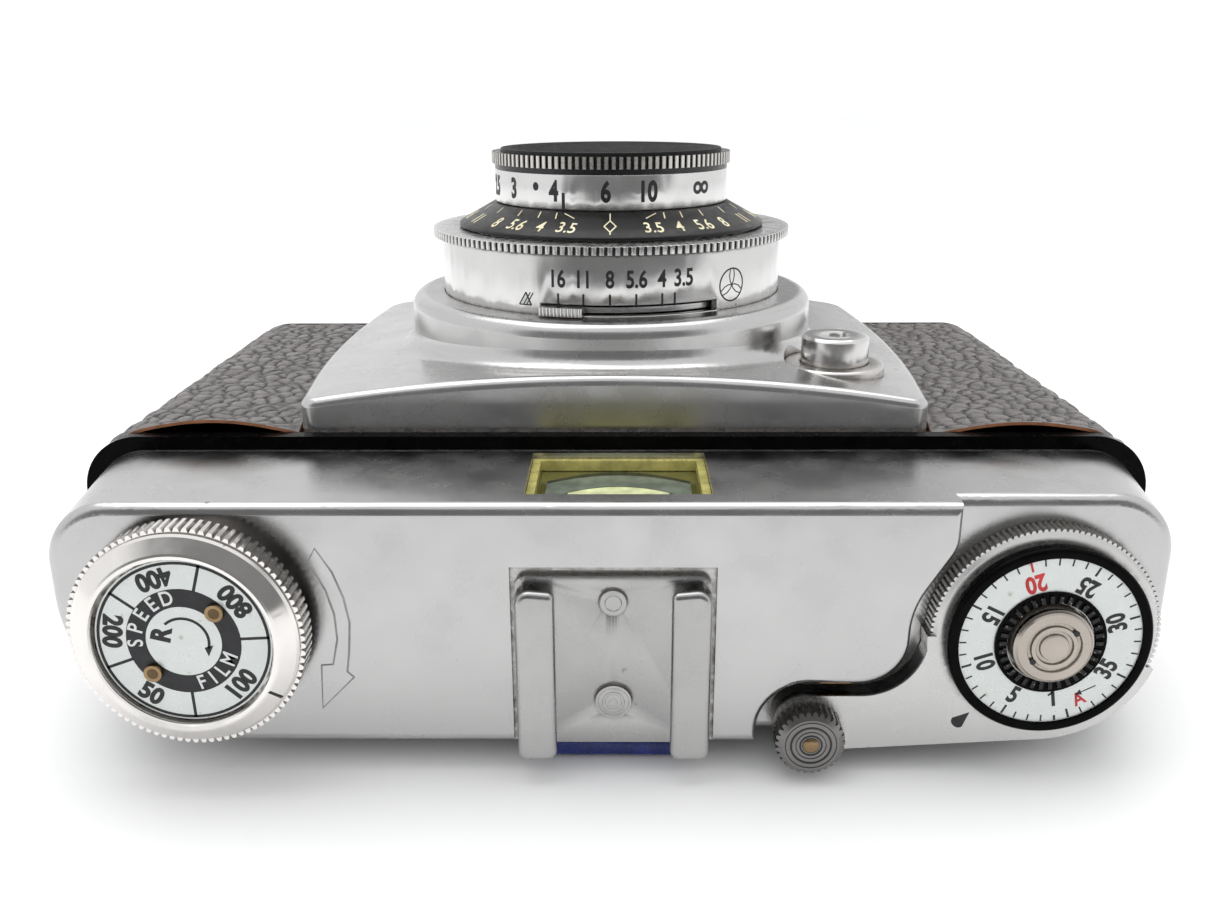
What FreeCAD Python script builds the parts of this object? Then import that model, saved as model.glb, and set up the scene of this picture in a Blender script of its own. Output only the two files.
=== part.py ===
import FreeCAD, Part
import math
import os
import Sketcher

# A 35 mm viewfinder camera lying on its back.
# +Z is the lens axis, -Y the camera's top plate, +Y its base, +X its winding side.
# The origin is where the lens axis meets the plane the camera's back rests on.

V = FreeCAD.Vector
doc = FreeCAD.newDocument("ViewfinderCamera")
NODES = []

DIMENSIONS = {
    # whole body, seen from the top
    "centre_x": 0.5, "body_half": 64.8, "body_back": 2.2, "rim_front": 34.0,
    "skin_front": 34.3, "skin_thick": 1.0, "body_near": -34.2, "body_far": 33.5,
    "leather_near": -32.2, "leather_far": 32.6,
    # top cover
    "cover_half": 60.9, "cover_flare": 2.9, "cover_rear": 3.5, "cover_front": 32.3,
    "raised_y": -53.0, "step_drop": 2.8, "cover_wall": 1.2, "cover_round": 1.2,
    # front plate and lens seat
    "plate_half": 38.3, "plate_belly": 42.7, "plate_near": -32.3, "plate_far": 32.5,
    "plate_crown": 40.95, "plate_arch_r": 235.0, "flange_r": 28.6, "flange_top": 46.5,
    # shutter and lens
    "barrel_r": 24.0, "barrel_low": 43.0, "barrel_top": 54.25, "barrel_wall": 1.2,
    "speed_r": 25.2, "speed_top": 55.4, "neck_r": 20.8, "cone_r": 21.5, "cone_top_r": 16.6,
    "cone_low": 55.55, "cone_top": 58.7, "focus_r": 16.3, "focus_top": 63.3,
    "grip_r": 16.7, "grip_knurl": 64.0, "grip_top": 65.54, "rim_r": 15.45, "rim_top": 66.0,
    "iris_open_r": 6.45, "iris_outer_r": 11.3, "iris_pivot_r": 9.0, "iris_level": 48.6,
    # winding side
    "wind_x": 47.6, "wind_z": 17.0, "wind_r": 12.5, "lever_thick": 2.6, "dial_r": 9.85,
    "dial_rim_r": 11.0, "dial_rise": 1.5, "nut_r": 4.3, "roller_x": 22.2, "roller_z": 5.2,
    "roller_r": 3.85, "roller_rise": 3.0,
    # rewind side
    "rewind_x": -44.6, "rewind_z": 18.9, "knob_r": 12.6, "knob_rise": 5.9, "knob_shaft_r": 2.2,
    "reminder_r": 9.3,
    # release
    "release_x": 29.3, "release_y": -19.6, "release_r": 4.35, "release_top": 43.35,
    "collar_r": 6.5, "collar_top": 39.75,
    # accessory shoe
    "shoe_left": -10.1, "shoe_right": 11.05, "shoe_rear": 3.1, "shoe_front": 23.7,
    "shoe_rise": 3.0, "shoe_lip": 4.33,
    # film transport
    "sprocket_x": 28.5, "sprocket_z": 10.5, "sprocket_r": 6.05, "gear_teeth": 20,
    "spool_r": 10.2,
    # back door
    "hinge_x": 67.2, "hinge_z": 2.4, "hinge_r": 1.5, "door_low": 0.3, "door_high": 2.0,
    # base
    "tripod_r": 2.6, "tripod_depth": 5.5, "base_thick": 2.0,
}


class Size(float):
    """A number that carries the spreadsheet formula it comes from."""

    def __new__(cls, value, formula):
        size = super().__new__(cls, value)
        size.formula = formula
        return size

    def __add__(self, other):
        return Size(float(self) + float(other), f"({self.formula} + {formula(other)})")

    def __sub__(self, other):
        return Size(float(self) - float(other), f"({self.formula} - {formula(other)})")

    def __mul__(self, other):
        return Size(float(self) * float(other), f"({self.formula} * {formula(other)})")

    def __neg__(self):
        return Size(-float(self), f"(0 - {self.formula})")


def formula(size):
    return size.formula if isinstance(size, Size) else f"({float(size)!r})"


class Dimensions:
    """The spreadsheet's cells, each a Size under its alias."""

    def __init__(self, table):
        sheet = doc.addObject("Spreadsheet::Sheet", "Dims")
        for row, (alias, value) in enumerate(table.items(), start=1):
            sheet.set(f"A{row}", alias)
            sheet.set(f"B{row}", str(value))
            sheet.setAlias(f"B{row}", alias)
            setattr(self, alias, Size(value, f"Dims.{alias}"))
        doc.recompute()


d = Dimensions(DIMENSIONS)
STEP_Y = d.raised_y + d.step_drop
DEG = math.pi / 180.0

# openings as (x low, x high, y low, y high)
WINDOW = (-9.2, 11.3, -49.6, -35.4)
EYEPIECE = (-5.5, 6.5, -47.5, -38.5)
SHOE_RIVETS = (21.25, 9.2)                            # z of each rivet, in mm
BASE_SCREWS = [(-29.5, 6.0), (-25.0, 29.5), (25.0, 29.5)]   # (x, z)
HINGE_LEAVES = ((-24.0, -10.0), (10.0, 24.0))         # y from and to
CASTING_CUTS = (-30.0, 33.5)                          # x of the planes between its three nodes
FILM_WALL = 30.6                                      # half length of the film chambers along y
COLLAR_SEAT = 38.2                                    # z of the release collar in the plate
BUTTON_FOOT = 36.6                                    # z under the release button's head
APERTURE_REST = -104.3                                # degrees
APERTURE_SWEEP = 42.0
TAB_HALF = 6.3
BLADE_PIVOT_R = 12.0
IRIS_CLOSE = 32.6


# ---------------------------------------------------------------- helpers

def bind(item, prop, size):
    if isinstance(size, Size):
        item.setExpression(prop, size.formula)


def node(item, label):
    """Name an object as a sub-part of its own."""
    item.Label = label
    NODES.append(item)
    return item


def shaped(label, shape):
    """A sub-part whose outline no sketch or primitive suits."""
    item = doc.addObject("Part::Feature", label)
    item.Shape = shape
    return node(item, label)


def place(item, at, rotation=FreeCAD.Rotation()):
    item.Placement = FreeCAD.Placement(V(*[float(c) for c in at]), rotation)
    for axis, size in zip("xyz", at):
        bind(item, f"Placement.Base.{axis}", size)


TOWARDS = {
    "z": FreeCAD.Rotation(),
    "top": FreeCAD.Rotation(V(1, 0, 0), 90),      # local Z points to -Y
    "base": FreeCAD.Rotation(V(1, 0, 0), -90),    # local Z points to +Y
}


def box(name, low, high):
    item = doc.addObject("Part::Box", name)
    place(item, low)
    for prop, a, b in zip(("Length", "Width", "Height"), low, high):
        span = b - a if isinstance(b, Size) else (-a + b if isinstance(a, Size) else b - a)
        setattr(item, prop, float(span))
        bind(item, prop, span)
    return item


def rod(name, radius, length, at, towards="z"):
    item = doc.addObject("Part::Cylinder", name)
    item.Radius = float(radius)
    item.Height = float(length)
    bind(item, "Radius", radius)
    bind(item, "Height", length)
    place(item, at, TOWARDS[towards])
    return item


def fuse(name, *items):
    item = doc.addObject("Part::MultiFuse", name)
    item.Shapes = list(items)
    return item


def origin_plane(body, role):
    return next(f for f in body.Origin.OriginFeatures if f.Role == role)


def outline(sketch, points):
    """A closed outline of straight lines, every corner held to its two sizes."""
    count = len(points)
    for i in range(count):
        a = points[i]
        b = points[(i + 1) % count]
        start = V(float(a[0]), float(a[1]), 0)
        end = V(float(b[0]), float(b[1]), 0)
        sketch.addGeometry(Part.LineSegment(start, end), False)
    for i in range(count):
        sketch.addConstraint(Sketcher.Constraint("Coincident", i, 2, (i + 1) % count, 1))
    for i, point in enumerate(points):
        for kind, on_axis, size in (("DistanceX", -2, point[0]), ("DistanceY", -1, point[1])):
            if float(size) == 0.0:
                sketch.addConstraint(Sketcher.Constraint("PointOnObject", i, 1, on_axis))
                continue
            index = sketch.addConstraint(Sketcher.Constraint(kind, -1, 1, i, 1, float(size)))
            if isinstance(size, Size):
                sketch.setExpression(f"Constraints[{index}]", size.formula)


def turned(label, profile, at=(0, 0, 0), towards="z"):
    """A body turned about its own axis from (radius, height) corners."""
    body = doc.addObject("PartDesign::Body", label)
    sketch = body.newObject("Sketcher::SketchObject", label + "_profile")
    sketch.AttachmentSupport = (origin_plane(body, "XZ_Plane"), [""])
    sketch.MapMode = "FlatFace"
    outline(sketch, profile)
    turn = body.newObject("PartDesign::Revolution", label + "_turn")
    turn.Profile = sketch
    turn.ReferenceAxis = (sketch, ["V_Axis"])
    turn.Angle = 360
    sketch.Visibility = False
    place(body, at, TOWARDS[towards])
    return body


def rounded(corners, level, plane):
    """A closed wire through corners (a, b, radius) with tangent arcs, in plane XZ or XY."""
    def point(a, b):
        return V(a, level, b) if plane == "XZ" else V(a, b, level)

    count = len(corners)
    joins = []
    for i, (a, b, radius) in enumerate(corners):
        before = corners[i - 1]
        after = corners[(i + 1) % count]
        to_before = V(before[0] - a, before[1] - b, 0).normalize()
        to_after = V(after[0] - a, after[1] - b, 0).normalize()
        half = to_before.getAngle(to_after) / 2
        corner = V(a, b, 0)
        if radius <= 0:
            joins.append((corner, None, corner))
            continue
        reach = radius / math.tan(half)
        middle = (to_before + to_after).normalize() * (radius / math.sin(half) - radius)
        joins.append((corner + to_before * reach, corner + middle, corner + to_after * reach))
    edges = []
    for i, (start, middle, end) in enumerate(joins):
        if middle is not None:
            arc = Part.Arc(point(start.x, start.y), point(middle.x, middle.y), point(end.x, end.y))
            edges.append(arc.toShape())
        following = joins[(i + 1) % count][0]
        if (following - end).Length > 1e-6:
            edges.append(Part.LineSegment(point(end.x, end.y), point(following.x, following.y)).toShape())
    return Part.Wire(edges)


def slab(corners, low, high, plane="XZ"):
    """A rounded outline raised between two levels of the third axis."""
    face = Part.Face(rounded(corners, float(low), plane))
    span = float(high) - float(low)
    return face.extrude(V(0, span, 0) if plane == "XZ" else V(0, 0, span))


def block(x0, x1, y0, y1, z0, z1):
    """A plain box between two corners."""
    size = [float(b) - float(a) for a, b in ((x0, x1), (y0, y1), (z0, z1))]
    return Part.makeBox(*size, V(float(x0), float(y0), float(z0)))


def bar(radius, x, z, near, far):
    """A round bar along Y."""
    start = V(float(x), float(near), float(z))
    return Part.makeCylinder(float(radius), float(far) - float(near), start, V(0, 1, 0))


def post(radius, x, y, low, high):
    """A round bar along Z."""
    return Part.makeCylinder(float(radius), float(high) - float(low), V(float(x), float(y), float(low)))


def teeth_wire(radius, depth, count, tip, root, phase):
    """A toothed ring's outline in XY; tip and root are a tooth's widths as shares of the pitch."""
    pitch = 2 * math.pi / count
    points = []
    for i in range(count):
        middle = phase + i * pitch
        for share, r in ((-root, radius - depth), (-tip, radius), (tip, radius), (root, radius - depth)):
            angle = middle + share * pitch / 2
            points.append(V(r * math.cos(angle), r * math.sin(angle), 0))
    points.append(points[0])
    return Part.makePolygon(points)


def toothed(radius, depth, count, low, high, bore=0.0, tip=0.43, root=0.86, phase=0.0):
    """A toothed disc or ring standing on XY between two heights."""
    solid = Part.Face(teeth_wire(radius, depth, count, tip, root, phase)).extrude(V(0, 0, high - low))
    solid.translate(V(0, 0, low))
    if bore:
        solid = solid.cut(Part.makeCylinder(bore, high - low + 2, V(0, 0, low - 1)))
    return solid


def spun(profile):
    """A solid turned about Z from (radius, height) corners."""
    points = [V(float(r), 0, float(z)) for r, z in profile]
    points.append(points[0])
    return Part.Face(Part.makePolygon(points)).revolve(V(0, 0, 0), V(0, 0, 1), 360)


def on_top(shape, x, z, rise=0.0):
    """Stand a shape made about Z on the top plate: its Z becomes -Y."""
    shape = shape.copy()
    turn = FreeCAD.Rotation(V(1, 0, 0), 90)
    shape.Placement = FreeCAD.Placement(V(float(x), float(d.raised_y) - rise, float(z)), turn)
    return shape


def ball_of_cap(radius, cap, edge_z, up):
    """The ball whose cap of the given height stands on a circle at edge_z."""
    ball_r = (radius * radius + cap * cap) / (2 * cap)
    return Part.makeSphere(ball_r, V(0, 0, edge_z + up * (cap - ball_r)))


def lens(radius, low, high, front_bulge, rear_bulge):
    """A round glass about Z whose faces bulge outwards, or are hollow if negative."""
    grow_low, grow_high = max(rear_bulge, 0.0), max(front_bulge, 0.0)
    glass = post(radius, 0, 0, low - grow_low, high + grow_high)
    for bulge, edge_z, up in ((front_bulge, high, 1), (rear_bulge, low, -1)):
        if bulge > 0:
            glass = glass.common(ball_of_cap(radius, bulge, edge_z, up))
        else:
            glass = glass.cut(ball_of_cap(radius, -bulge, edge_z, -up))
    return glass


def edges_at(shape, axis, level, spread=1e-4):
    """The edges that lie in one level plane."""
    low, high = axis + "Min", axis + "Max"
    return [e for e in shape.Edges
            if abs(getattr(e.BoundBox, low) - level) < spread and abs(getattr(e.BoundBox, high) - level) < spread]


# ---------------------------------------------------------------- body shell

def section(half, front, back, front_round, back_round):
    """The body's outline seen from the top."""
    left = float(d.centre_x) - half
    right = float(d.centre_x) + half
    return [(left, front, front_round), (right, front, front_round),
            (right, back, back_round), (left, back, back_round)]


def make_casting():
    rim = section(float(d.body_half), float(d.rim_front), float(d.body_back), 7.0, 2.5)
    inset = float(d.skin_thick) - (float(d.skin_front) - float(d.rim_front))
    zone = section(float(d.body_half) - inset, float(d.skin_front) - float(d.skin_thick),
                   float(d.body_back), 6.3, 1.8)
    solid = slab(zone, d.body_near, d.body_far)
    solid = solid.fuse(slab(rim, d.body_near, d.plate_near - 0.1))
    solid = solid.fuse(slab(rim, d.leather_far + 0.1, d.body_far))
    near_wall, far_wall = -FILM_WALL, FILM_WALL
    low = float(d.body_back) - 1
    hollows = [
        bar(12.9, d.rewind_x, d.rewind_z, near_wall, far_wall),
        block(-57.5, -31.7, near_wall, far_wall, low, d.rewind_z),
        bar(12.4, d.wind_x, d.wind_z, near_wall, far_wall),
        block(35.2, 60.0, near_wall, far_wall, low, d.wind_z),
        block(21.5, 35.5, -19.0, 19.0, low, 18.0),
        block(-58.0, 60.0, -18.0, 18.0, low, 3.9),
        block(-27.3, 21.4, -18.0, 18.0, low, 5.1),
        block(-18.4, 18.4, -12.4, 12.4, 3.0, 26.0),
        post(14.0, 0, 0, 24.0, 40.0),
        bar(3.2, d.rewind_x, d.rewind_z, -40, -30),
        bar(1.6, d.wind_x, d.wind_z, -40, 32.0),
        bar(1.6, d.sprocket_x, d.sprocket_z, -40, 32.0),
        post(2.8, d.release_x, d.release_y, 24.0, 40.0),
        bar(3.6, 14.0, 22.0, 25.0, 40.0),
        bar(1.25, *idler_place(), -40.0, -31.8),
        block(-30.0, -20.0, -29.0, 27.0, 8.0, 40.0),
        block(20.0, 33.5, -29.0, 27.0, 20.0, 40.0),
        block(-17.0, 17.0, -29.0, -15.0, 7.0, 40.0),
        block(-17.0, 17.0, 15.0, 24.0, 7.0, 40.0),
    ]
    for hollow in hollows:
        solid = solid.cut(hollow)
    solid = solid.cut(bar(float(d.tripod_r) + 2.45, 0.0, 17.0, d.body_far - 6.0, 40.0))
    for x, z in BASE_SCREWS:
        solid = solid.cut(bar(1.05, x, z, d.body_far - 4.5, 40.0))
    return solid.removeSplitter()


def part_of_casting(casting, low, high):
    return casting.common(block(low, high, -60.0, 60.0, -10.0, 60.0))


def idler_place():
    """The idler stands halfway between the sprocket and the spool."""
    return (float(d.sprocket_x) + float(d.wind_x)) / 2, (float(d.sprocket_z) + float(d.wind_z)) / 2


def cover_outline(flare, wall=0.0):
    half = float(d.cover_half) + flare - wall
    left = float(d.centre_x) - half
    right = float(d.centre_x) + half
    front = float(d.cover_front) - wall
    rear = float(d.cover_rear) + wall
    return [(left, front, 7.0 - wall), (right, front, 7.0 - wall),
            (right, rear, 13.0 - wall), (left, rear, 18.0 - wall)]


RAISED_EDGE = [(-90.0, 60.0, 0), (37.4, 60.0, 0), (37.4, 27.3, 4.0), (33.0, 20.0, 10.0),
               (33.0, 11.05, 5.5), (16.5, 11.05, 6.0), (16.5, -20.0, 0), (-90.0, -20.0, 0)]


def make_cover():
    def hull(top):
        wires = [rounded(cover_outline(float(d.cover_flare)), float(d.body_near), "XZ"),
                 rounded(cover_outline(0.0), float(top), "XZ")]
        solid = Part.makeLoft(wires, True, True)
        return solid.makeFillet(float(d.cover_round), edges_at(solid, "Y", float(top)))

    raised = slab(RAISED_EDGE, d.raised_y, d.body_near)
    raised = raised.makeFillet(0.7, edges_at(raised, "Y", float(d.raised_y)))
    solid = hull(STEP_Y).fuse(hull(d.raised_y).common(raised))
    wall = float(d.cover_wall)
    cavity = slab(cover_outline(0.0, wall), STEP_Y + wall, d.body_near + 1)
    tall = slab(cover_outline(0.0, wall), d.raised_y + wall, d.body_near + 1)
    tall = tall.common(block(-70, 14.5, -60, -30, 0, 40))
    solid = solid.cut(cavity.fuse(tall))
    shoe_mid = (float(d.shoe_left) + float(d.shoe_right)) / 2
    openings = [
        block(shoe_mid - 11.2, shoe_mid + 11.2, -60, d.raised_y + 0.5, 0, d.shoe_front + 1.5),
        block(WINDOW[0], WINDOW[1], WINDOW[2], WINDOW[3], 28.0, 40.0),
        block(EYEPIECE[0], EYEPIECE[1], EYEPIECE[2], EYEPIECE[3], 0.0, 6.0),
        bar(4.7, d.rewind_x, d.rewind_z, -60, -45),
        bar(4.3, d.wind_x, d.wind_z, -60, -45),
    ]
    for opening in openings:
        solid = solid.cut(opening)
    for rivet_z in SHOE_RIVETS:
        solid = solid.cut(bar(1.1, shoe_mid, rivet_z, -60, -45))
    return solid.removeSplitter()


def plate_outline(grow=0.0):
    half = float(d.plate_half) + grow
    belly = float(d.plate_belly) + grow
    near = float(d.plate_near) - grow
    far = float(d.plate_far) + grow
    mid = float(d.centre_x)
    wide = half + 0.9
    return [(mid - half, near, 2.2), (mid + half, near, 2.2), (mid + belly, 4.0, 200.0),
            (mid + wide, far, 3.0), (mid - wide, far, 3.0), (mid - belly, 4.0, 200.0)]


def make_front_plate():
    low = float(d.skin_front) - float(d.skin_thick)
    slab_shape = slab(plate_outline(), low, 50.0, "XY")
    arch_z = float(d.plate_crown) - float(d.plate_arch_r)
    arch = Part.makeCylinder(float(d.plate_arch_r), 120, V(0, -60, arch_z), V(0, 1, 0))
    plate = slab_shape.common(arch)
    flange = post(d.flange_r, 0, 0, low + 1.0, d.flange_top)
    flange = flange.makeFillet(1.9, edges_at(flange, "Z", float(d.flange_top)))
    plate = plate.fuse(flange)
    seam = [e for e in plate.Edges
            if abs(e.BoundBox.XMax - float(d.flange_r)) < 0.3 and e.BoundBox.ZMin > low + 3
            and e.BoundBox.ZMax < float(d.plate_crown) + 0.2]
    plate = plate.makeFillet(2.3, seam)
    half = float(d.plate_half) - 2.0
    upper = []
    for edge in plate.Edges:
        span = edge.BoundBox
        outside = span.YMin > 29.0 or span.YMax < -29.0 or span.XMin > half or span.XMax < -half
        if outside and low + 1.0 < span.ZMin and span.ZMax < float(d.plate_crown) + 0.2:
            upper.append(edge)
    plate = plate.makeFillet(1.15, upper)
    side = float(d.plate_half) - 2.8
    near, far = float(d.plate_near) + 2.7, float(d.plate_far) - 2.9
    mid = float(d.centre_x)
    under = slab([(mid - side, near, 1.0), (mid + side, near, 1.0), (mid + side, far, 1.0), (mid - side, far, 1.0)],
                 low - 1.0, low + 2.2, "XY")
    plate = plate.cut(under.cut(post(17.0, 0, 0, 30, 40)))
    holes = [
        post(float(d.barrel_r) + 0.1, 0, 0, d.barrel_low, 60.0),
        post(13.5, 0, 0, 30.0, 60.0),
        post(float(d.release_r) + 0.08, d.release_x, d.release_y, low - 1.0, 60.0),
        post(d.collar_r + 0.02, d.release_x, d.release_y, COLLAR_SEAT, 60.0),
    ]
    for hole in holes:
        plate = plate.cut(hole)
    return plate.removeSplitter()


def make_leather(side):
    inset = float(d.skin_thick) - (float(d.skin_front) - float(d.rim_front))
    grow = float(d.skin_thick) - inset
    outer = section(float(d.body_half) + grow, float(d.skin_front), 2.6, 7.3, 0)
    inner = section(float(d.body_half) - inset + 0.02, float(d.skin_front) - float(d.skin_thick) + 0.02,
                    0.0, 6.3, 0)
    skin = slab(outer, d.leather_near, d.leather_far).cut(slab(inner, d.leather_near - 1, d.leather_far + 1))
    skin = skin.cut(slab(plate_outline(0.25), 30.0, 40.0, "XY"))
    keep = block(-80, 0, -50, 50, 0, 50) if side < 0 else block(0, 80, -50, 50, 0, 50)
    skin = skin.common(keep)
    if side < 0:
        skin = skin.cut(block(-70, -60, -9.5, 9.5, 6.5, 15.5))
    else:
        for y0, y1 in HINGE_LEAVES:
            skin = skin.cut(block(60, 70, y0 - 0.15, y1 + 0.15, 0, float(d.hinge_z) + 5.2))
    return skin.removeSplitter()


def make_base_cover():
    half = float(d.body_half) - 0.7
    outline_xz = section(half, float(d.rim_front) - 0.8, float(d.body_back) + 0.6, 6.5, 3.0)
    far = float(d.body_far) + float(d.base_thick)
    solid = slab(outline_xz, d.body_far, far)
    solid = solid.makeFillet(1.2, edges_at(solid, "Y", far))
    solid = solid.cut(bar(float(d.tripod_r) + 2.45, 0.0, 17.0, 30, 40))
    solid = solid.cut(bar(3.4, 14.0, 22.0, 30, 40))
    for x, z in BASE_SCREWS:
        solid = solid.cut(bar(1.05, x, z, 30, 40))
        solid = solid.cut(bar(2.05, x, z, far - 0.7, 40))
    return solid


casting = make_casting()
left_cut, right_cut = CASTING_CUTS
shaped("body_casting", part_of_casting(casting, left_cut, right_cut))
shaped("casting_rewind_side", part_of_casting(casting, -90.0, left_cut))
shaped("casting_wind_side", part_of_casting(casting, right_cut, 90.0))
shaped("top_cover", make_cover())
shaped("front_plate", make_front_plate())
shaped("leather_left", make_leather(-1))
shaped("leather_right", make_leather(1))
shaped("bottom_cover", make_base_cover())


def make_base_screws():
    far = float(d.body_far) + float(d.base_thick)
    screws = []
    for x, z in BASE_SCREWS:
        screw = bar(1.0, x, z, d.body_far - 4.0, far - 0.65).fuse(bar(2.0, x, z, far - 0.68, far - 0.05))
        screws.append(screw.cut(block(x - 3, x + 3, far - 0.45, far + 1, z - 0.25, z + 0.25)))
    return Part.makeCompound(screws)


shaped("bottom_screws", make_base_screws())

bush_far = d.body_far + d.base_thick
bush = turned("tripod_bush", [
    (d.tripod_r, -(d.tripod_depth)), (d.tripod_r + 2.4, -(d.tripod_depth)),
    (d.tripod_r + 2.4, 0.0), (d.tripod_r, 0.0)], at=(0, bush_far, 17.0), towards="base")
node(bush, "tripod_bush")

node(turned("rewind_release_button", [
    (0.0, -7.5), (3.3, -7.5), (3.3, -0.3), (2.9, 0.1), (0.0, 0.1)],
    at=(14.0, bush_far, 22.0), towards="base"), "rewind_release_button")


# ---------------------------------------------------------------- accessory shoe and viewfinder

def make_shoe():
    left, right = float(d.shoe_left), float(d.shoe_right)
    floor = float(d.raised_y) + 0.5
    thick = 0.8
    top = float(d.raised_y) - float(d.shoe_rise)
    rear, front = float(d.shoe_rear), float(d.shoe_front)
    base_rear = rear + 0.8
    solid = slab([(left, front + 0.6, 1.2), (right, front + 0.6, 1.2), (right, base_rear, 0), (left, base_rear, 0)],
                 floor - thick, floor)
    for edge, inward in ((left, 1), (right, -1)):
        lip = edge + inward * float(d.shoe_lip)
        rail = slab([(edge, front, 1.6), (lip, front - 0.4, 0.8), (lip, rear, 1.1), (edge, rear, 1.1)],
                    top, floor - thick)
        rail = rail.makeFillet(0.7, edges_at(rail, "Y", top))
        wall = edge + inward * 0.9
        a, b = sorted((wall, lip + inward * 2))
        rail = rail.cut(block(a, b, top + 0.85, floor, rear - 1, front + 2))
        solid = solid.fuse(rail)
    shoe_mid = (left + right) / 2
    for rivet_z in SHOE_RIVETS:
        solid = solid.cut(bar(1.1, shoe_mid, rivet_z, -60, -45))
    return solid.removeSplitter()


shaped("accessory_shoe", make_shoe())


def make_rivets():
    shoe_mid = (float(d.shoe_left) + float(d.shoe_right)) / 2
    face = float(d.raised_y) - 0.3
    rivets = []
    for rivet_z, head in zip(SHOE_RIVETS, (1.5, 2.0)):
        rivet = bar(1.05, shoe_mid, rivet_z, face - 0.02, face + 2.6)
        cap = bar(head, shoe_mid, rivet_z, face - 0.3, face)
        rivets.append(rivet.fuse(cap))
    return Part.makeCompound(rivets)


shaped("shoe_rivets", make_rivets())


def make_window_frame():
    x0, x1, y0, y1 = WINDOW
    frame = block(x0 + 0.05, x1 - 0.05, y0 + 0.05, y1 - 0.05, 30.4, 31.6)
    return frame.cut(block(x0 + 1.0, x1 - 1.0, y0 + 1.0, y1 - 1.0, 30, 32))


def make_finder_tube():
    x0, x1, y0, y1 = WINDOW
    tube = block(x0 - 0.6, x1 + 0.6, y0 - 0.6, y1 + 0.8, 8.0, 29.2)
    bore = block(x0 + 0.4, x1 - 0.4, y0 + 0.4, y1 - 0.4, 9.2, 30.0)
    eye = block(EYEPIECE[0] + 1, EYEPIECE[1] - 1, EYEPIECE[2] + 1, EYEPIECE[3] - 1, 7, 10)
    return tube.cut(bore).cut(eye)


def pane(name, opening, gap, low, high):
    x0, x1, y0, y1 = opening
    return box(name, (x0 + gap, y0 + gap, low), (x1 - gap, y1 - gap, high))


shaped("window_frame", make_window_frame())
node(pane("window_glass", WINDOW, 0.1, 29.3, 30.3), "viewfinder_window")
shaped("viewfinder_tube", make_finder_tube())


def make_eyepiece_bezel():
    x0, x1, y0, y1 = EYEPIECE
    rear = 0.4
    outer = block(x0 - 1.2, x1 + 1.2, y0 - 3.6, y1 + 1.2, rear, 3.45)
    outer = outer.makeFillet(0.8, edges_at(outer, "Z", rear))
    neck = block(x0 + 0.05, x1 - 0.05, y0 + 0.05, y1 - 0.05, 3.4, 6.8)
    hole = block(x0 + 1, x1 - 1, y0 + 1, y1 - 1, 0, 10)
    return outer.fuse(neck).cut(hole)


shaped("eyepiece_bezel", make_eyepiece_bezel())
node(pane("eye_glass", EYEPIECE, 1.05, 4.0, 5.5), "eyepiece_lens")


# ---------------------------------------------------------------- shutter and lens

def wedge(radius, low, high, start, stop):
    """A pie slice about Z between two compass angles, in degrees from +X."""
    slice_ = Part.makeCylinder(radius, high - low, V(0, 0, low), V(0, 0, 1), stop - start)
    slice_.rotate(V(0, 0, 0), V(0, 0, 1), start)
    return slice_


def make_shutter_housing():
    r, wall = float(d.barrel_r), float(d.barrel_wall)
    low, top = float(d.barrel_low), float(d.barrel_top)
    neck = float(d.neck_r)
    inner = neck - 1.6
    solid = spun([(9.1, low), (r, low), (r, top), (neck, top), (neck, float(d.cone_low)),
                  (inner, float(d.cone_low)), (inner, top - 1.2), (r - wall, top - 1.2),
                  (r - wall, low + 1.2), (9.1, low + 1.2)])
    slot = wedge(r + 2, float(d.flange_top) + 0.1, float(d.flange_top) + 1.45,
                 APERTURE_REST - TAB_HALF - 1.0, APERTURE_REST + APERTURE_SWEEP + TAB_HALF + 1.0)
    slot = slot.cut(post(r - 3, 0, 0, low, top))
    return solid.cut(slot)


shaped("shutter_housing", make_shutter_housing())

mount_tube = turned("lens_mount_tube", [
    (7.6, 52.0), (19.0, 52.0), (19.0, 53.0), (11.8, 53.0), (11.8, 59.5), (7.6, 59.5)])
pin_places = enumerate((-BLADE_PIVOT_R, BLADE_PIVOT_R))
blade_pins = [rod(f"blade_pin_{i}", 0.45, 1.9, (0, y, 50.3)) for i, y in pin_places]
rear_cell = turned("rear_cell_tube", [(7.0, 36.5), (9.0, 36.5), (9.0, 44.6), (7.0, 44.6)])
node(fuse("lens_mount_all", mount_tube, rear_cell, *blade_pins), "lens_mount")
node(turned("depth_scale", [
    (15.75, d.cone_low), (d.cone_r, d.cone_low), (d.cone_r, d.cone_low + 0.45),
    (d.cone_top_r, d.cone_top), (15.75, d.cone_top)]), "depth_scale")
shaped("middle_lens", lens(7.5, 55.2, 56.6, -0.4, -0.5))
shaped("rear_lens", lens(6.95, 38.0, 40.0, 0.6, 0.9))
node(turned("focus_barrel", [
    (14.9, 56.2), (15.65, 56.2), (15.65, d.cone_top + 0.1), (d.focus_r, d.cone_top + 0.1),
    (d.focus_r, d.focus_top), (14.9, d.focus_top)]), "focus_barrel")


def make_focus_grip():
    low, knurl, top = float(d.focus_top), float(d.grip_knurl), float(d.grip_top)
    band = spun([(14.9, low), (float(d.focus_r), low), (float(d.focus_r), knurl), (14.9, knurl)])
    grip = toothed(float(d.grip_r), 0.35, 110, knurl, top, bore=15.55)
    return band.fuse(grip)


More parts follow.
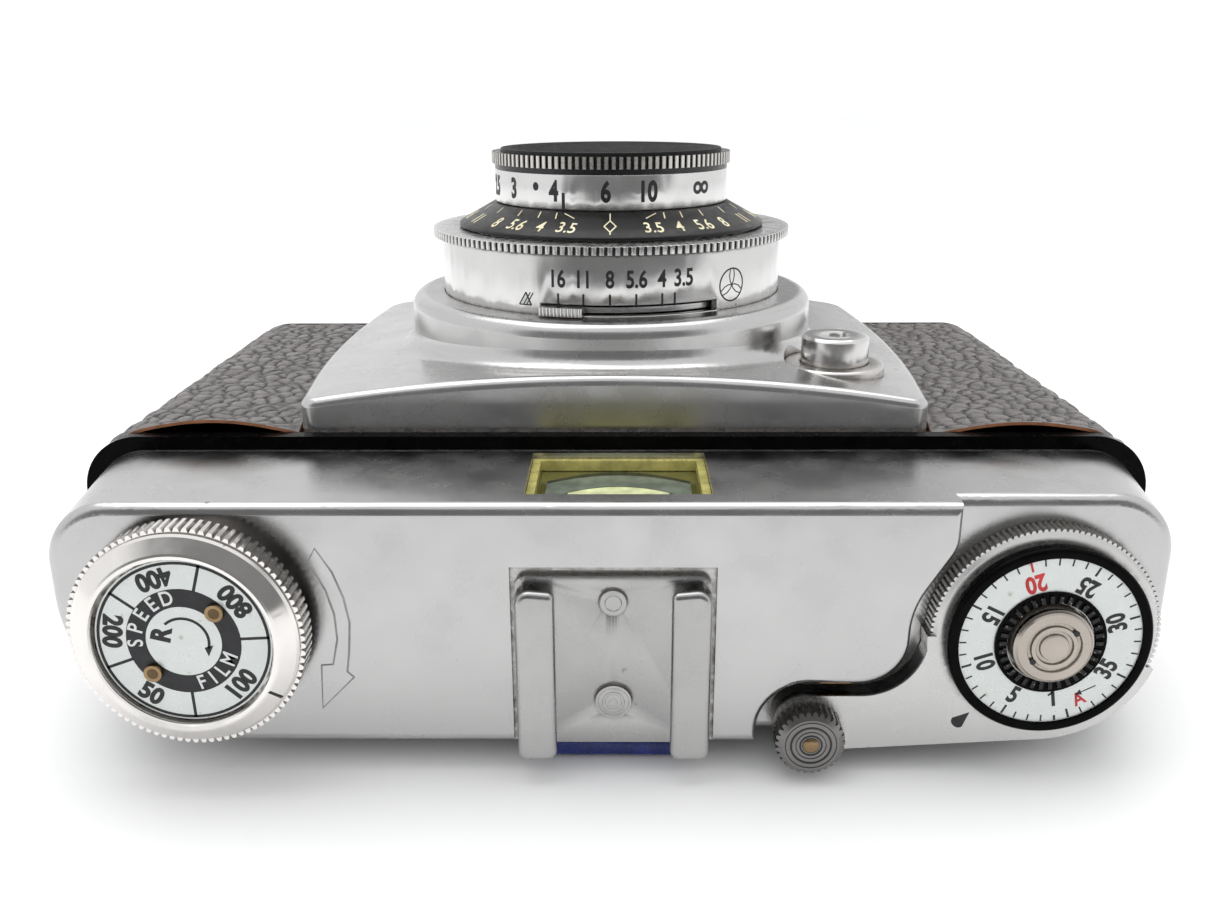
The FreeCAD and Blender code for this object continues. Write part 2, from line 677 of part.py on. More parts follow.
shaped("focus_grip", make_focus_grip())
node(turned("front_lens_cell", [
    (11.9, 57.2), (14.75, 57.2), (14.75, 64.4), (d.rim_r, 64.4), (d.rim_r, d.rim_top),
    (d.rim_r - 0.6, d.rim_top), (9.6, 62.6), (8.4, 62.6), (8.4, 60.6), (11.9, 60.6)]), "front_lens_cell")
shaped("front_lens", lens(8.35, 60.7, 61.9, 0.9, 0.3))


def make_speed_ring():
    low, top = float(d.barrel_top) + 0.08, float(d.speed_top)
    return toothed(float(d.speed_r), 0.3, 160, low, top, bore=float(d.neck_r) + 0.08)


shaped("speed_ring", make_speed_ring())


def make_aperture_lever():
    low = float(d.flange_top) + 0.2
    ring = spun([(13.0, low), (22.3, low), (22.3, low + 0.7), (13.0, low + 0.7)])
    tab = wedge(25.4, low, low + 1.1, APERTURE_REST - TAB_HALF, APERTURE_REST + TAB_HALF)
    teeth = []
    for i in range(12):
        angle = (APERTURE_REST - TAB_HALF + (i + 0.5) * 2 * TAB_HALF / 12) * DEG
        teeth.append(post(0.3, 25.4 * math.cos(angle), 25.4 * math.sin(angle), low, low + 1.1))
    tab = tab.multiFuse(teeth).cut(post(22.0, 0, 0, 40, 60))
    return ring.fuse(tab)


shaped("aperture_lever", make_aperture_lever())


def make_iris_blade(index):
    inner, outer, pivot = float(d.iris_open_r), float(d.iris_outer_r), float(d.iris_pivot_r)
    low = float(d.iris_level) + 0.24 * index
    blade = wedge(outer, low, low + 0.12, -10.0, 150.0).cut(post(inner, 0, 0, low - 1, low + 1))
    middle = (inner + outer) / 2
    blade = blade.fuse(post((outer - inner) / 2, middle * math.cos(150 * DEG), middle * math.sin(150 * DEG),
                            low, low + 0.12))
    blade = blade.cut(post(0.5, pivot, 0, low - 1, low + 1))
    blade.rotate(V(pivot, 0, 0), V(0, 0, 1), IRIS_CLOSE)
    blade.rotate(V(0, 0, 0), V(0, 0, 1), 72.0 * index)
    return blade


for index in range(5):
    shaped(f"iris_blade_{index + 1}", make_iris_blade(index))


def make_shutter_blade(index):
    low = 50.4 + 0.35 * index
    blade = post(8.0, 0, 0, low, low + 0.15).common(block(-9, 0.6, -9, 9, 40, 60))
    arm = slab([(-3.4, -6.0, 0.5), (0.6, -6.0, 0.3), (1.6, -13.5, 1.5), (-1.6, -13.5, 1.5)], low, low + 0.15, "XY")
    blade = blade.fuse(arm).cut(post(0.5, 0, -BLADE_PIVOT_R, 40, 60))
    blade.rotate(V(0, 0, 0), V(0, 0, 1), 180.0 * index)
    return blade


for index in range(2):
    shaped(f"shutter_blade_{index + 1}", make_shutter_blade(index))


def make_sync_socket():
    reach = Part.makeCylinder(1.75, 3.2, V(0, 0, 0), V(0, 0, 1))
    reach = reach.cut(Part.makeCylinder(1.25, 3.0, V(0, 0, 1.2)))
    pin = Part.makeCylinder(0.5, 2.4, V(0, 0, 0))
    flange = Part.makeCylinder(2.6, 0.5, V(0, 0, 0))
    socket = flange.cut(Part.makeCylinder(1.0, 2, V(0, 0, 0.2))).fuse(reach).fuse(pin)
    angle = 150.0
    socket.Placement = FreeCAD.Placement(
        V((float(d.barrel_r) - 0.15) * math.cos(angle * DEG), (float(d.barrel_r) - 0.15) * math.sin(angle * DEG), 50.4),
        FreeCAD.Rotation(V(0, 0, 1), V(math.cos(angle * DEG), math.sin(angle * DEG), 0)))
    return socket.cut(post(d.barrel_r, 0, 0, 40, 60))


shaped("sync_socket", make_sync_socket())


# ---------------------------------------------------------------- release

node(turned("release_collar", [
    (d.release_r + 0.08, COLLAR_SEAT), (d.collar_r, COLLAR_SEAT), (d.collar_r, d.collar_top - 0.3),
    (d.collar_r - 0.3, d.collar_top), (d.release_r + 0.08, d.collar_top)],
    at=(d.release_x, d.release_y, 0)), "release_collar")
node(turned("release_button", [
    (0.0, 27.5), (2.3, 27.5), (2.3, BUTTON_FOOT), (d.release_r, BUTTON_FOOT),
    (d.release_r, d.release_top - 0.4), (d.release_r - 0.4, d.release_top), (1.9, d.release_top),
    (1.6, d.release_top - 0.6), (1.6, d.release_top - 4.0), (0.0, d.release_top - 4.0)],
    at=(d.release_x, d.release_y, 0)), "release_button")


# ---------------------------------------------------------------- winding side of the top plate

def make_wind_lever():
    thick = float(d.lever_thick)
    crown = float(d.wind_r) - 0.3
    hub_top = spun([(0, -0.4), (crown, -0.4), (crown, -0.35), (crown - 0.35, 0.0), (0, 0.0)])
    hub = toothed(float(d.wind_r), 0.35, 120, -thick, -0.35).fuse(hub_top)
    # the arm is drawn about the hub: u along X, v along Z
    tip_u = float(d.roller_x) - float(d.wind_x)
    tip_v = float(d.roller_z) - float(d.wind_z)
    arm = slab([(tip_u - 3.7, tip_v + 4.4, 3.2), (-12.6, tip_v + 4.4, 7.0), (-12.6, 0.0, 0), (0.0, 0.0, 0),
                (0.0, -12.85, 0), (tip_u - 3.7, -14.6, 3.6)], -thick, 0.0, "XY")
    rear = wedge(12.85, -thick, 0.0, 180.0, 342.0)
    lever = hub.fuse(arm).fuse(rear)
    lever = lever.fuse(Part.makeCylinder(4.2, 8.0, V(0, 0, -thick - 8.0)))
    lever = lever.cut(Part.makeCylinder(2.6, 14.0, V(0, 0, -thick - 9.0)))
    lever = lever.cut(Part.makeCylinder(1.0, 9.0, V(tip_u, tip_v, -5)))
    # in the XY drawing v is up; on the top plate it becomes Z
    return on_top(lever.removeSplitter(), d.wind_x, d.wind_z)


shaped("wind_lever", make_wind_lever())

node(turned("counter_dial", [
    (4.6, 0.1), (d.dial_r, 0.1), (d.dial_r, 1.2), (4.6, 1.2)],
    at=(d.wind_x, d.raised_y, d.wind_z), towards="top"), "counter_dial")
node(turned("counter_rim", [
    (d.dial_r, 0.1), (d.dial_rim_r, 0.1), (d.dial_rim_r, d.dial_rise - 0.25),
    (d.dial_rim_r - 0.25, d.dial_rise), (d.dial_r, d.dial_rise)],
    at=(d.wind_x, d.raised_y, d.wind_z), towards="top"), "counter_rim")
node(turned("counter_nut", [
    (0.0, -2.0), (2.5, -2.0), (2.5, 0.0), (4.3, 0.0), (d.nut_r, 2.2), (d.nut_r - 0.4, 2.6),
    (3.0, 2.6), (3.0, 2.2), (0.0, 2.2)],
    at=(d.wind_x, d.raised_y, d.wind_z), towards="top"), "counter_nut")


def make_thumb_roller():
    rise, r = float(d.roller_rise), float(d.roller_r)
    roller = toothed(r, 0.35, 30, 0.1, rise, bore=0.95)
    cone = spun([(0.9, 0.0), (r + 1, 0.0), (r + 1, rise - 1.2), (r - 0.75, rise), (0.9, rise)])
    return on_top(roller.common(cone), d.roller_x, d.roller_z)


shaped("thumb_roller", make_thumb_roller())
node(turned("roller_pin", [
    (0.0, -(d.lever_thick)), (0.9, -(d.lever_thick)), (0.9, d.roller_rise + 0.1),
    (0.6, d.roller_rise + 0.25), (0.0, d.roller_rise + 0.25)],
    at=(d.roller_x, d.raised_y, d.roller_z), towards="top"), "roller_pin")


# ---------------------------------------------------------------- rewind side of the top plate

def make_rewind_knob():
    r, rise = float(d.knob_r), float(d.knob_rise)
    recess = float(d.reminder_r) + 0.25
    shoulder = rise - 1.6
    skirt = toothed(r, 0.45, 90, 1.6, shoulder)
    rim = spun([(0, 0.4), (9.0, 0.4), (10.4, 1.6), (12.05, 1.6), (12.05, shoulder + 0.25), (11.8, shoulder + 0.5),
                (10.35, rise - 0.1), (10.1, rise), (recess + 0.15, rise - 0.1), (recess, rise - 0.3),
                (recess, 4.3), (0, 4.3)])
    cavity = Part.makeCylinder(recess, 5.0, V(0, 0, 4.3))
    knob = skirt.cut(cavity).fuse(rim)
    knob = knob.cut(Part.makeCylinder(float(d.knob_shaft_r), 9.0, V(0, 0, -1)))
    return on_top(knob.removeSplitter(), d.rewind_x, d.rewind_z)


shaped("rewind_knob", make_rewind_knob())


def make_rewind_shaft():
    r = float(d.knob_shaft_r)
    head = 4.2
    tip = float(d.raised_y) + 27.5
    shaft = Part.makeCylinder(r - 0.02, head - tip, V(0, 0, tip))
    shaft = shaft.cut(block(-3, 3, -0.9, 0.9, tip - 1, tip + 3.2))
    return on_top(shaft, d.rewind_x, d.rewind_z)


shaped("rewind_shaft", make_rewind_shaft())
node(turned("rewind_sleeve", [
    (d.knob_shaft_r + 0.06, -21.5), (3.1, -21.5), (3.1, -18.0), (4.4, -18.0), (4.4, 0.1),
    (d.knob_shaft_r + 0.06, 0.1)],
    at=(d.rewind_x, d.raised_y, d.rewind_z), towards="top"), "rewind_sleeve")
node(turned("film_reminder_disc", [
    (0.0, 4.4), (d.reminder_r, 4.4), (d.reminder_r, 4.9), (0.0, 4.9)],
    at=(d.rewind_x, d.raised_y, d.rewind_z), towards="top"), "film_reminder_disc")


def make_reminder_pins():
    pins = []
    for angle in (43.0, 225.0):
        u, v = 5.05 * math.cos(angle * DEG), 5.05 * math.sin(angle * DEG)
        pin = Part.makeCylinder(0.95, 0.55, V(u, v, 4.9)).cut(Part.makeCylinder(0.5, 1, V(u, v, 5.2)))
        pins.append(on_top(pin, d.rewind_x, d.rewind_z))
    return Part.makeCompound(pins)


shaped("reminder_pins", make_reminder_pins())


# ---------------------------------------------------------------- film transport

def gear_angle():
    """Direction from the sprocket to the spool, in the gears' own plane."""
    return math.atan2(float(d.wind_z - d.sprocket_z), float(d.wind_x - d.sprocket_x))


def gear(phase):
    span = math.hypot(float(d.wind_z - d.sprocket_z), float(d.wind_x - d.sprocket_x))
    pitch_r = span / 4
    return toothed(pitch_r + 0.38, 0.9, int(d.gear_teeth), 0.0, 1.6, tip=0.2, root=0.6, phase=phase)


def geared(shape, x, z, phase):
    """Add the drive gear that sits on the deck under the top cover."""
    wheel = gear(phase)
    wheel.Placement = FreeCAD.Placement(V(float(x), -35.0, float(z)), FreeCAD.Rotation(V(1, 0, 0), 90))
    return shape.fuse(wheel)


def make_sprocket():
    x, z, r = d.sprocket_x, d.sprocket_z, float(d.sprocket_r)
    drum = bar(r - 0.6, x, z, -17.6, 17.6)
    drum = drum.fuse(bar(r, x, z, -15.0, -10.5)).fuse(bar(r, x, z, 10.5, 15.0))
    drum = drum.fuse(bar(1.5, x, z, -36.6, 24.0))
    teeth = []
    for y in (-12.7, 12.7):
        for i in range(8):
            angle = i * math.pi / 4 + 0.3
            tooth = Part.makeCone(0.9, 0.5, 1.3, V(0, 0, 0), V(math.cos(angle), 0, math.sin(angle)))
            tooth.translate(V(float(x) + (r - 0.6) * math.cos(angle), y, float(z) + (r - 0.6) * math.sin(angle)))
            teeth.append(tooth)
    return geared(drum.multiFuse(teeth), x, z, gear_angle())


def make_spool():
    x, z, r = d.wind_x, d.wind_z, float(d.spool_r)
    core = bar(5.6, x, z, -28.6, 28.6)
    spool = core.fuse(bar(r, x, z, -28.6, -27.0)).fuse(bar(r, x, z, 27.0, 28.6))
    spool = spool.fuse(bar(1.5, x, z, -36.6, 31.0))
    spool = spool.cut(block(float(x) - 0.8, float(x) + 0.8, -14, 14, 0, float(z) - 2.5))
    return geared(spool, x, z, gear_angle() + math.pi)


def make_idler():
    x, z = idler_place()
    tooth = math.pi / int(d.gear_teeth)
    return geared(bar(1.2, x, z, -37.5, -32.0), x, z, gear_angle() + tooth)


shaped("film_sprocket", make_sprocket())
shaped("take_up_spool", make_spool())
shaped("idler_gear", make_idler())


def make_film_gate():
    gate = block(-27.0, 21.2, -17.7, 17.7, 4.2, 5.0)
    for y in (-17.0, -13.6, 12.6, 16.0):
        gate = gate.fuse(block(-24, 20, y, y + 1.0, 3.8, 4.3))
    return gate.cut(block(-18, 18, -12, 12, 0, 10))


shaped("film_gate", make_film_gate())


# ---------------------------------------------------------------- back door

def make_door():
    half = float(d.body_half) - 1.0
    left = float(d.centre_x) - half
    right = float(d.centre_x) + half
    near, far = float(d.leather_near) + 0.2, float(d.leather_far) - 0.2
    door = slab([(left, near, 4.0), (right, near, 4.0), (right, far, 4.0), (left, far, 4.0)],
                d.door_low, d.door_high, "XY")
    door = door.makeFillet(1.2, edges_at(door, "Z", float(d.door_low)))
    door = door.fuse(block(right - 3, float(d.hinge_x), -9.8, 9.8, 1.2, 2.0))
    door = door.fuse(bar(d.hinge_r, d.hinge_x, d.hinge_z, -9.8, 9.8))
    door = door.cut(bar(float(d.hinge_r) * 0.5 + 0.03, d.hinge_x, d.hinge_z, -20, 20))
    return door.cut(block(left + 3.5, right - 3.5, near + 3, far - 3, 0, 1.0))


shaped("back_door", make_door())


def make_back_leather():
    half = float(d.body_half) - 4.6
    left, right = float(d.centre_x) - half, float(d.centre_x) + half
    near, far = float(d.leather_near) + 3.3, float(d.leather_far) - 3.3
    return slab([(left, near, 1.5), (right, near, 1.5), (right, far, 1.5), (left, far, 1.5)], 0.0, 1.0, "XY")


shaped("back_leather", make_back_leather())


def make_pressure_plate():
    """The pad with the two leaf springs behind it."""
    arms = [block(-22.0, 22.0, -16.5, 16.5, 2.75, 3.5)]
    for y in (-8.0, 8.0):
        strip = [(-14, 2.0), (-12, 2.0), (-6, 2.6), (6, 2.6), (12, 2.0), (14, 2.0), (14, 2.14), (12.05, 2.14),
                 (6.05, 2.75), (-6.05, 2.75), (-12.05, 2.14), (-14, 2.14)]
        points = [V(x, y - 2, z) for x, z in strip]
        points.append(points[0])
        arms.append(Part.Face(Part.makePolygon(points)).extrude(V(0, 4, 0)))
    return Part.makeCompound(arms)


shaped("pressure_plate", make_pressure_plate())


def make_hinge_bracket():
    x, z, r = float(d.hinge_x), float(d.hinge_z), float(d.hinge_r)
    side = float(d.centre_x + d.body_half) - 0.65
    parts = []
    for y0, y1 in HINGE_LEAVES:
        leaf = block(side, side + 1.1, y0, y1, z + 0.1, z + 5)
        web = block(side, x, y0, y1, z + 0.1, z + r - 0.05)
        parts.append(bar(r, x, z, y0, y1).fuse(web).fuse(leaf).cut(bar(r * 0.5 + 0.03, x, z, -30, 30)))
    return Part.makeCompound(parts)


shaped("hinge_bracket", make_hinge_bracket())
pin_r = d.hinge_r * 0.5
node(rod("hinge_rod", pin_r, 48.6, (d.hinge_x, -24.3, d.hinge_z), "base"), "hinge_pin")


def make_latch():
    side = float(d.centre_x - d.body_half)
    plate = block(side - 1.3, side + 0.1, -6, 6, 8.0, 14.0)
    grooves = [block(side - 2, side - 1.0, y, y + 0.5, 7, 15) for y in (-4.2, -3.2, -2.2, -1.2, -0.2, 0.8, 1.8, 2.8)]
    return plate.cut(Part.makeCompound(grooves))


shaped("door_latch", make_latch())


# ---------------------------------------------------------------- checks and export

doc.recompute()
for item in doc.Objects:
    if "Invalid" in item.State or "Error" in item.State:
        raise RuntimeError(f"{item.Label} did not recompute: {item.State}")

os.makedirs("parts", exist_ok=True)
for item in NODES:
    if item.Shape.isNull() or not item.Shape.isValid():
        raise RuntimeError(f"{item.Label} has no valid shape")
    if not item.Shape.Solids:
        raise RuntimeError(f"{item.Label} holds no solid")
for item in NODES:
    item.Shape.exportStep(f"parts/{item.Label}.step")
    box_ = item.Shape.BoundBox
    print(f"{item.Label:24s} {len(item.Shape.Solids)} solids {item.Shape.Volume:10.2f} mm3  "
          f"X {box_.XMin:7.2f} {box_.XMax:7.2f}  Y {box_.YMin:7.2f} {box_.YMax:7.2f}  "
          f"Z {box_.ZMin:6.2f} {box_.ZMax:6.2f}")
print(len(NODES), "nodes")
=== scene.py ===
import math

import bpy
from mathutils import Matrix, Vector, noise


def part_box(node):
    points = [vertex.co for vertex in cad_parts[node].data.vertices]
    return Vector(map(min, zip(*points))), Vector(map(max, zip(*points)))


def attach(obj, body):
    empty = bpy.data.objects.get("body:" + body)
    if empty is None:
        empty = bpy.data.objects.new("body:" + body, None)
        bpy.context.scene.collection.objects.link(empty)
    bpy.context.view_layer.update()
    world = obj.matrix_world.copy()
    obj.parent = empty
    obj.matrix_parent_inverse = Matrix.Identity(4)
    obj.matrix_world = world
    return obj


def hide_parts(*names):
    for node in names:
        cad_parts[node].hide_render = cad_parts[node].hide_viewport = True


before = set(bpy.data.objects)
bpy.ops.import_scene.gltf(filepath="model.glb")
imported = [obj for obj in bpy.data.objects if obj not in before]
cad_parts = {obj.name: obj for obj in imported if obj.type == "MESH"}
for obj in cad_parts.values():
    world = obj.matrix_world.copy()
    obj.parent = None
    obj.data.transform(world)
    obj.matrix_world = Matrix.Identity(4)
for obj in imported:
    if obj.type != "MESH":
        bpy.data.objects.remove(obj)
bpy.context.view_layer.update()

noise.seed_set(7)            # or noise_vector is seeded from the clock, and the leather differs each run
MM = 0.001
NEAR = -90.0                 # angle about the lens axis of the side that faces the viewer, in degrees


# ---------------------------------------------------------------- places read from the frame, in mm

def node_box(name):
    low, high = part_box(name)
    return [c / MM for c in low], [c / MM for c in high]


def middle(name):
    low, high = node_box(name)
    return [(a + b) / 2 for a, b in zip(low, high)]


COVER_LOW, COVER_HIGH = node_box("top_cover")
RAISED_Y = COVER_LOW[1]
STEP_Y = RAISED_Y + 2.8       # the lower face, beside the wind lever
WIND = middle("counter_dial")
REWIND = middle("film_reminder_disc")
ROLLER = middle("thumb_roller")
SHOE_X = middle("shoe_rivets")[0]
HUB_R = 12.95                # wind lever's knurled hub
DIAL_R = (node_box("counter_dial")[1][0] - node_box("counter_dial")[0][0]) / 2
REMINDER_R = (node_box("film_reminder_disc")[1][0] - node_box("film_reminder_disc")[0][0]) / 2
BARREL_R = node_box("shutter_housing")[1][0]
FOCUS_R = node_box("focus_barrel")[1][0]
CONE_HIGH = node_box("depth_scale")[1]
SPEED_TOP = node_box("speed_ring")[1][2]
FLANGE_TOP = node_box("front_plate")[1][2]


# ---------------------------------------------------------------- materials

def new_material(name):
    material = bpy.data.materials.new(name)
    material.use_nodes = True
    tree = material.node_tree
    return material, tree, tree.nodes["Principled BSDF"]


def put(tree, kind, **sockets):
    item = tree.nodes.new(kind)
    for key, value in sockets.items():
        item.inputs[key.replace("_", " ")].default_value = value
    return item


def coordinates(tree):
    return tree.nodes.new("ShaderNodeTexCoord").outputs["Object"]


def noise_node(tree, scale, detail=3.0, stretch=None):
    texture = put(tree, "ShaderNodeTexNoise", Scale=scale, Detail=detail)
    source = coordinates(tree)
    if stretch:
        mapping = put(tree, "ShaderNodeMapping")
        mapping.inputs["Scale"].default_value = stretch
        tree.links.new(source, mapping.inputs["Vector"])
        source = mapping.outputs["Vector"]
    tree.links.new(source, texture.inputs["Vector"])
    return texture.outputs["Fac"]


def ramp(tree, source, stops):
    item = tree.nodes.new("ShaderNodeValToRGB")
    elements = item.color_ramp.elements
    while len(elements) < len(stops):
        elements.new(0.5)
    for element, (position, colour) in zip(elements, stops):
        element.position = position
        element.color = (*colour, 1.0)
    tree.links.new(source, item.inputs["Fac"])
    return item.outputs["Color"]


def grey(value):
    return (value, value, value)


def bump(tree, shader, source, strength, distance):
    item = put(tree, "ShaderNodeBump", Strength=strength, Distance=distance)
    tree.links.new(source, item.inputs["Height"])
    tree.links.new(item.outputs["Normal"], shader.inputs["Normal"])


def mix_colour(tree, factor, a, b, kind="MIX"):
    item = tree.nodes.new("ShaderNodeMix")
    item.data_type = "RGBA"
    item.blend_type = kind
    for socket, value in ((item.inputs[0], factor), (item.inputs[6], a), (item.inputs[7], b)):
        if hasattr(value, "links"):
            tree.links.new(value, socket)
        elif isinstance(value, (int, float)):
            socket.default_value = value
        else:
            socket.default_value = (*value, 1.0)
    return item.outputs[2]


def axes(tree, kind="Object"):
    """A point's own x, y and z ("Object"), or which way its surface faces ("Normal")."""
    parts = tree.nodes.new("ShaderNodeSeparateXYZ")
    tree.links.new(tree.nodes.new("ShaderNodeTexCoord").outputs[kind], parts.inputs[0])
    return parts.outputs


def axis_distance(tree, first, second, centre=(0.0, 0.0)):
    """How far a point is from an axis, measured in the plane of two of its coordinates."""
    flat = tree.nodes.new("ShaderNodeCombineXYZ")
    tree.links.new(first, flat.inputs[0])
    tree.links.new(second, flat.inputs[1])
    length = tree.nodes.new("ShaderNodeVectorMath")
    length.operation = "DISTANCE"
    tree.links.new(flat.outputs[0], length.inputs[0])
    length.inputs[1].default_value = (*centre, 0.0)
    return length.outputs["Value"]


def fade(tree, source, start, stop):
    """0 up to start, 1 from stop on, and a ramp between them."""
    step = tree.nodes.new("ShaderNodeMapRange")
    step.inputs["From Min"].default_value = start
    step.inputs["From Max"].default_value = stop
    tree.links.new(source, step.inputs["Value"])
    return step.outputs["Result"]


def paint_shade(material, mask, scale, low, high):
    """Lay an uneven painted shade over a material where the mask is 1."""
    tree = material.node_tree
    socket = tree.nodes["Principled BSDF"].inputs["Base Color"]
    coat = ramp(tree, noise_node(tree, scale, 3.0), [(0.3, grey(low)), (0.7, grey(high))])
    tree.links.new(mix_colour(tree, mask, socket.links[0].from_socket, coat), socket)


def shade_and_dirt_mask(tree, reach, low, high):
    """Painted shade with dirt: white where ambient occlusion finds corners and crevices, black on open faces.
    """
    ao = put(tree, "ShaderNodeAmbientOcclusion", Distance=reach)
    ao.samples = 8
    return ramp(tree, ao.outputs["AO"], [(low, grey(1.0)), (high, grey(0.0))])


def metal(name, tone, rough, spread=0.05, blotch=900.0, fine=9000.0, bump_mm=0.004, warmth=0.0,
          shade_and_dirt_reach=None, shade_and_dirt_colour=(0.09, 0.07, 0.045), stretch=None):
    """Worn plated metal: blotches in tone and gloss, fine grain, dirt and painted shade where it is enclosed.
    """
    material, tree, shader = new_material(name)
    shader.inputs["Metallic"].default_value = 1.0
    cloud = noise_node(tree, blotch * 0.15, 5.0)
    light = (tone + spread, (tone + spread) * (1 - warmth * 0.5), (tone + spread) * (1 - warmth))
    dark = (tone - spread, (tone - spread) * (1 - warmth * 0.5), (tone - spread) * (1 - warmth))
    colour = ramp(tree, cloud, [(0.3, dark), (0.7, light)])
    speck = noise_node(tree, blotch, 2.0)
    spots = ramp(tree, speck, [(0.2, (0.5, 0.48, 0.45)), (0.24, grey(1.0))])
    colour = mix_colour(tree, 1.0, colour, spots, "MULTIPLY")
    if shade_and_dirt_reach:
        # painted shade with dirt: ambient occlusion darkens corners and crevices towards a dirt colour and
        # makes them less metallic
        mask = shade_and_dirt_mask(tree, shade_and_dirt_reach * MM, 0.35, 0.8)
        patches = ramp(tree, noise_node(tree, 1100.0, 4.0), [(0.35, grey(0.25)), (0.65, grey(1.0))])
        mask = mix_colour(tree, 1.0, mask, patches, "MULTIPLY")
        colour = mix_colour(tree, mask, colour, shade_and_dirt_colour)
        metallic = ramp(tree, mask, [(0.0, grey(1.0)), (1.0, grey(0.3))])
        tree.links.new(metallic, shader.inputs["Metallic"])
    tree.links.new(colour, shader.inputs["Base Color"])
    gloss = ramp(tree, noise_node(tree, blotch * 0.5, 4.0),
                 [(0.3, grey(max(rough - 0.06, 0.03))), (0.7, grey(rough + 0.08))])
    tree.links.new(gloss, shader.inputs["Roughness"])
    bump(tree, shader, noise_node(tree, fine, 2.0, stretch), 0.5, bump_mm * MM)
    return material


def cover_metal(name):
    """Satin chrome outside; the same cover is dull and dark on its inner walls, where shade is painted in."""
    material = metal(name, 0.5, 0.24, 0.01, 300.0, 9000.0, 0.003, 0.01, 1.3, (0.1, 0.08, 0.05))
    tree = material.node_tree
    x, y, z = axes(tree)
    low, high = COVER_LOW[0] + 4.5, COVER_HIGH[0] - 4.5
    # painted shade: the walls below the step face, below z 26 mm and away from the cover's ends, are darkened
    inside = fade(tree, y, (STEP_Y + 0.25) * MM, (STEP_Y + 0.75) * MM)
    for source, open_bound, shaded_bound in ((z, 27.0, 26.0), (x, low, low + 1.0), (x, high, high - 1.0)):
        inside = mix_colour(tree, 1.0, inside, fade(tree, source, open_bound * MM, shaded_bound * MM), "MULTIPLY")
    paint_shade(material, inside, 700.0, 0.008, 0.02)
    return material


def lever_metal(name):
    """Satin chrome face; its cut sides below the face carry painted shade."""
    material = metal(name, 0.55, 0.26, 0.015, 400.0, 9000.0, 0.003, 0.02, 1.2)
    tree = material.node_tree
    x, y, z = axes(tree)
    below_face = fade(tree, y, (RAISED_Y + 0.15) * MM, (RAISED_Y + 0.45) * MM)
    cut_side = fade(tree, axes(tree, "Normal")[1], -0.75, -0.45)
    from_hub = axis_distance(tree, x, z, (WIND[0] * MM, WIND[2] * MM))
    off_hub = fade(tree, from_hub, (HUB_R + 0.1) * MM, (HUB_R + 0.4) * MM)
    # painted shade on the cut sides below the lever's face, outside the hub
    mask = mix_colour(tree, 1.0, below_face, cut_side, "MULTIPLY")
    paint_shade(material, mix_colour(tree, 1.0, mask, off_hub, "MULTIPLY"), 900.0, 0.012, 0.04)
    return material


def ridged(name, split_mm, groove, tip, rough=0.3, sides_only=False):
    """A ring whose ridges are bright at the tips and dark in the grooves, by distance from the lens axis."""
    material, tree, shader = new_material(name)
    x, y, _ = axes(tree)
    mask = fade(tree, axis_distance(tree, x, y), (split_mm - 0.05) * MM, (split_mm + 0.05) * MM)
    if sides_only:
        flat_top = fade(tree, axes(tree, "Normal")[2], 0.4, 0.6)
        mask = mix_colour(tree, 1.0, mask, flat_top, "ADD")
    tree.links.new(mix_colour(tree, mask, groove, tip), shader.inputs["Base Color"])
    tree.links.new(mask, shader.inputs["Metallic"])
    gloss = ramp(tree, noise_node(tree, 900.0, 3.0), [(0.3, grey(rough - 0.06)), (0.7, grey(rough + 0.1))])
    tree.links.new(gloss, shader.inputs["Roughness"])
    return material


def turned_metal(name, tone, rough, axis="Z", ring_mm=0.12, warmth=0.03):
    """Bright metal with the fine rings that a lathe leaves."""
    stretch = {"Z": (0.02, 0.02, 1.0), "Y": (0.02, 1.0, 0.02)}[axis]
    return metal(name, tone, rough, 0.04, 700.0, 1.0 / (ring_mm * MM), 0.003, warmth, 0.8,
                 (0.06, 0.05, 0.035), stretch)


def paint(name, base, rough, wear=0.0, fine=5000.0, specular=0.5):
    """Black or coloured paint with slightly uneven gloss; wear shows dull metal specks."""
    material, tree, shader = new_material(name)
    shader.inputs["Specular IOR Level"].default_value = specular
    cloud = noise_node(tree, 500.0, 4.0)
    lighter = tuple(min(c * 1.7 + 0.001, 1.0) for c in base)
    colour = ramp(tree, cloud, [(0.35, base), (0.75, lighter)])
    if wear:
        mask = ramp(tree, noise_node(tree, 2600.0, 5.0), [(0.66 - wear, grey(0.0)), (0.7 - wear, grey(1.0))])
        colour = mix_colour(tree, mask, colour, (0.32, 0.3, 0.27))
    tree.links.new(colour, shader.inputs["Base Color"])
    gloss = ramp(tree, noise_node(tree, 1500.0, 3.0), [(0.3, grey(rough - 0.06)), (0.7, grey(rough + 0.1))])
    tree.links.new(gloss, shader.inputs["Roughness"])
    bump(tree, shader, noise_node(tree, fine, 2.0), 0.4, 0.006 * MM)
    return material


def enamel(name, base):
    """A white printed dial, a little stained."""
    material, tree, shader = new_material(name)
    stain = ramp(tree, noise_node(tree, 900.0, 6.0), [(0.2, (0.32, 0.3, 0.22)), (0.34, base), (0.75, base)])
    tree.links.new(stain, shader.inputs["Base Color"])
    gloss = ramp(tree, noise_node(tree, 700.0, 3.0), [(0.3, grey(0.22)), (0.7, grey(0.4))])
    tree.links.new(gloss, shader.inputs["Roughness"])
    shader.inputs["Metallic"].default_value = 0.35
    bump(tree, shader, noise_node(tree, 6000.0, 2.0), 0.3, 0.004 * MM)
    return material


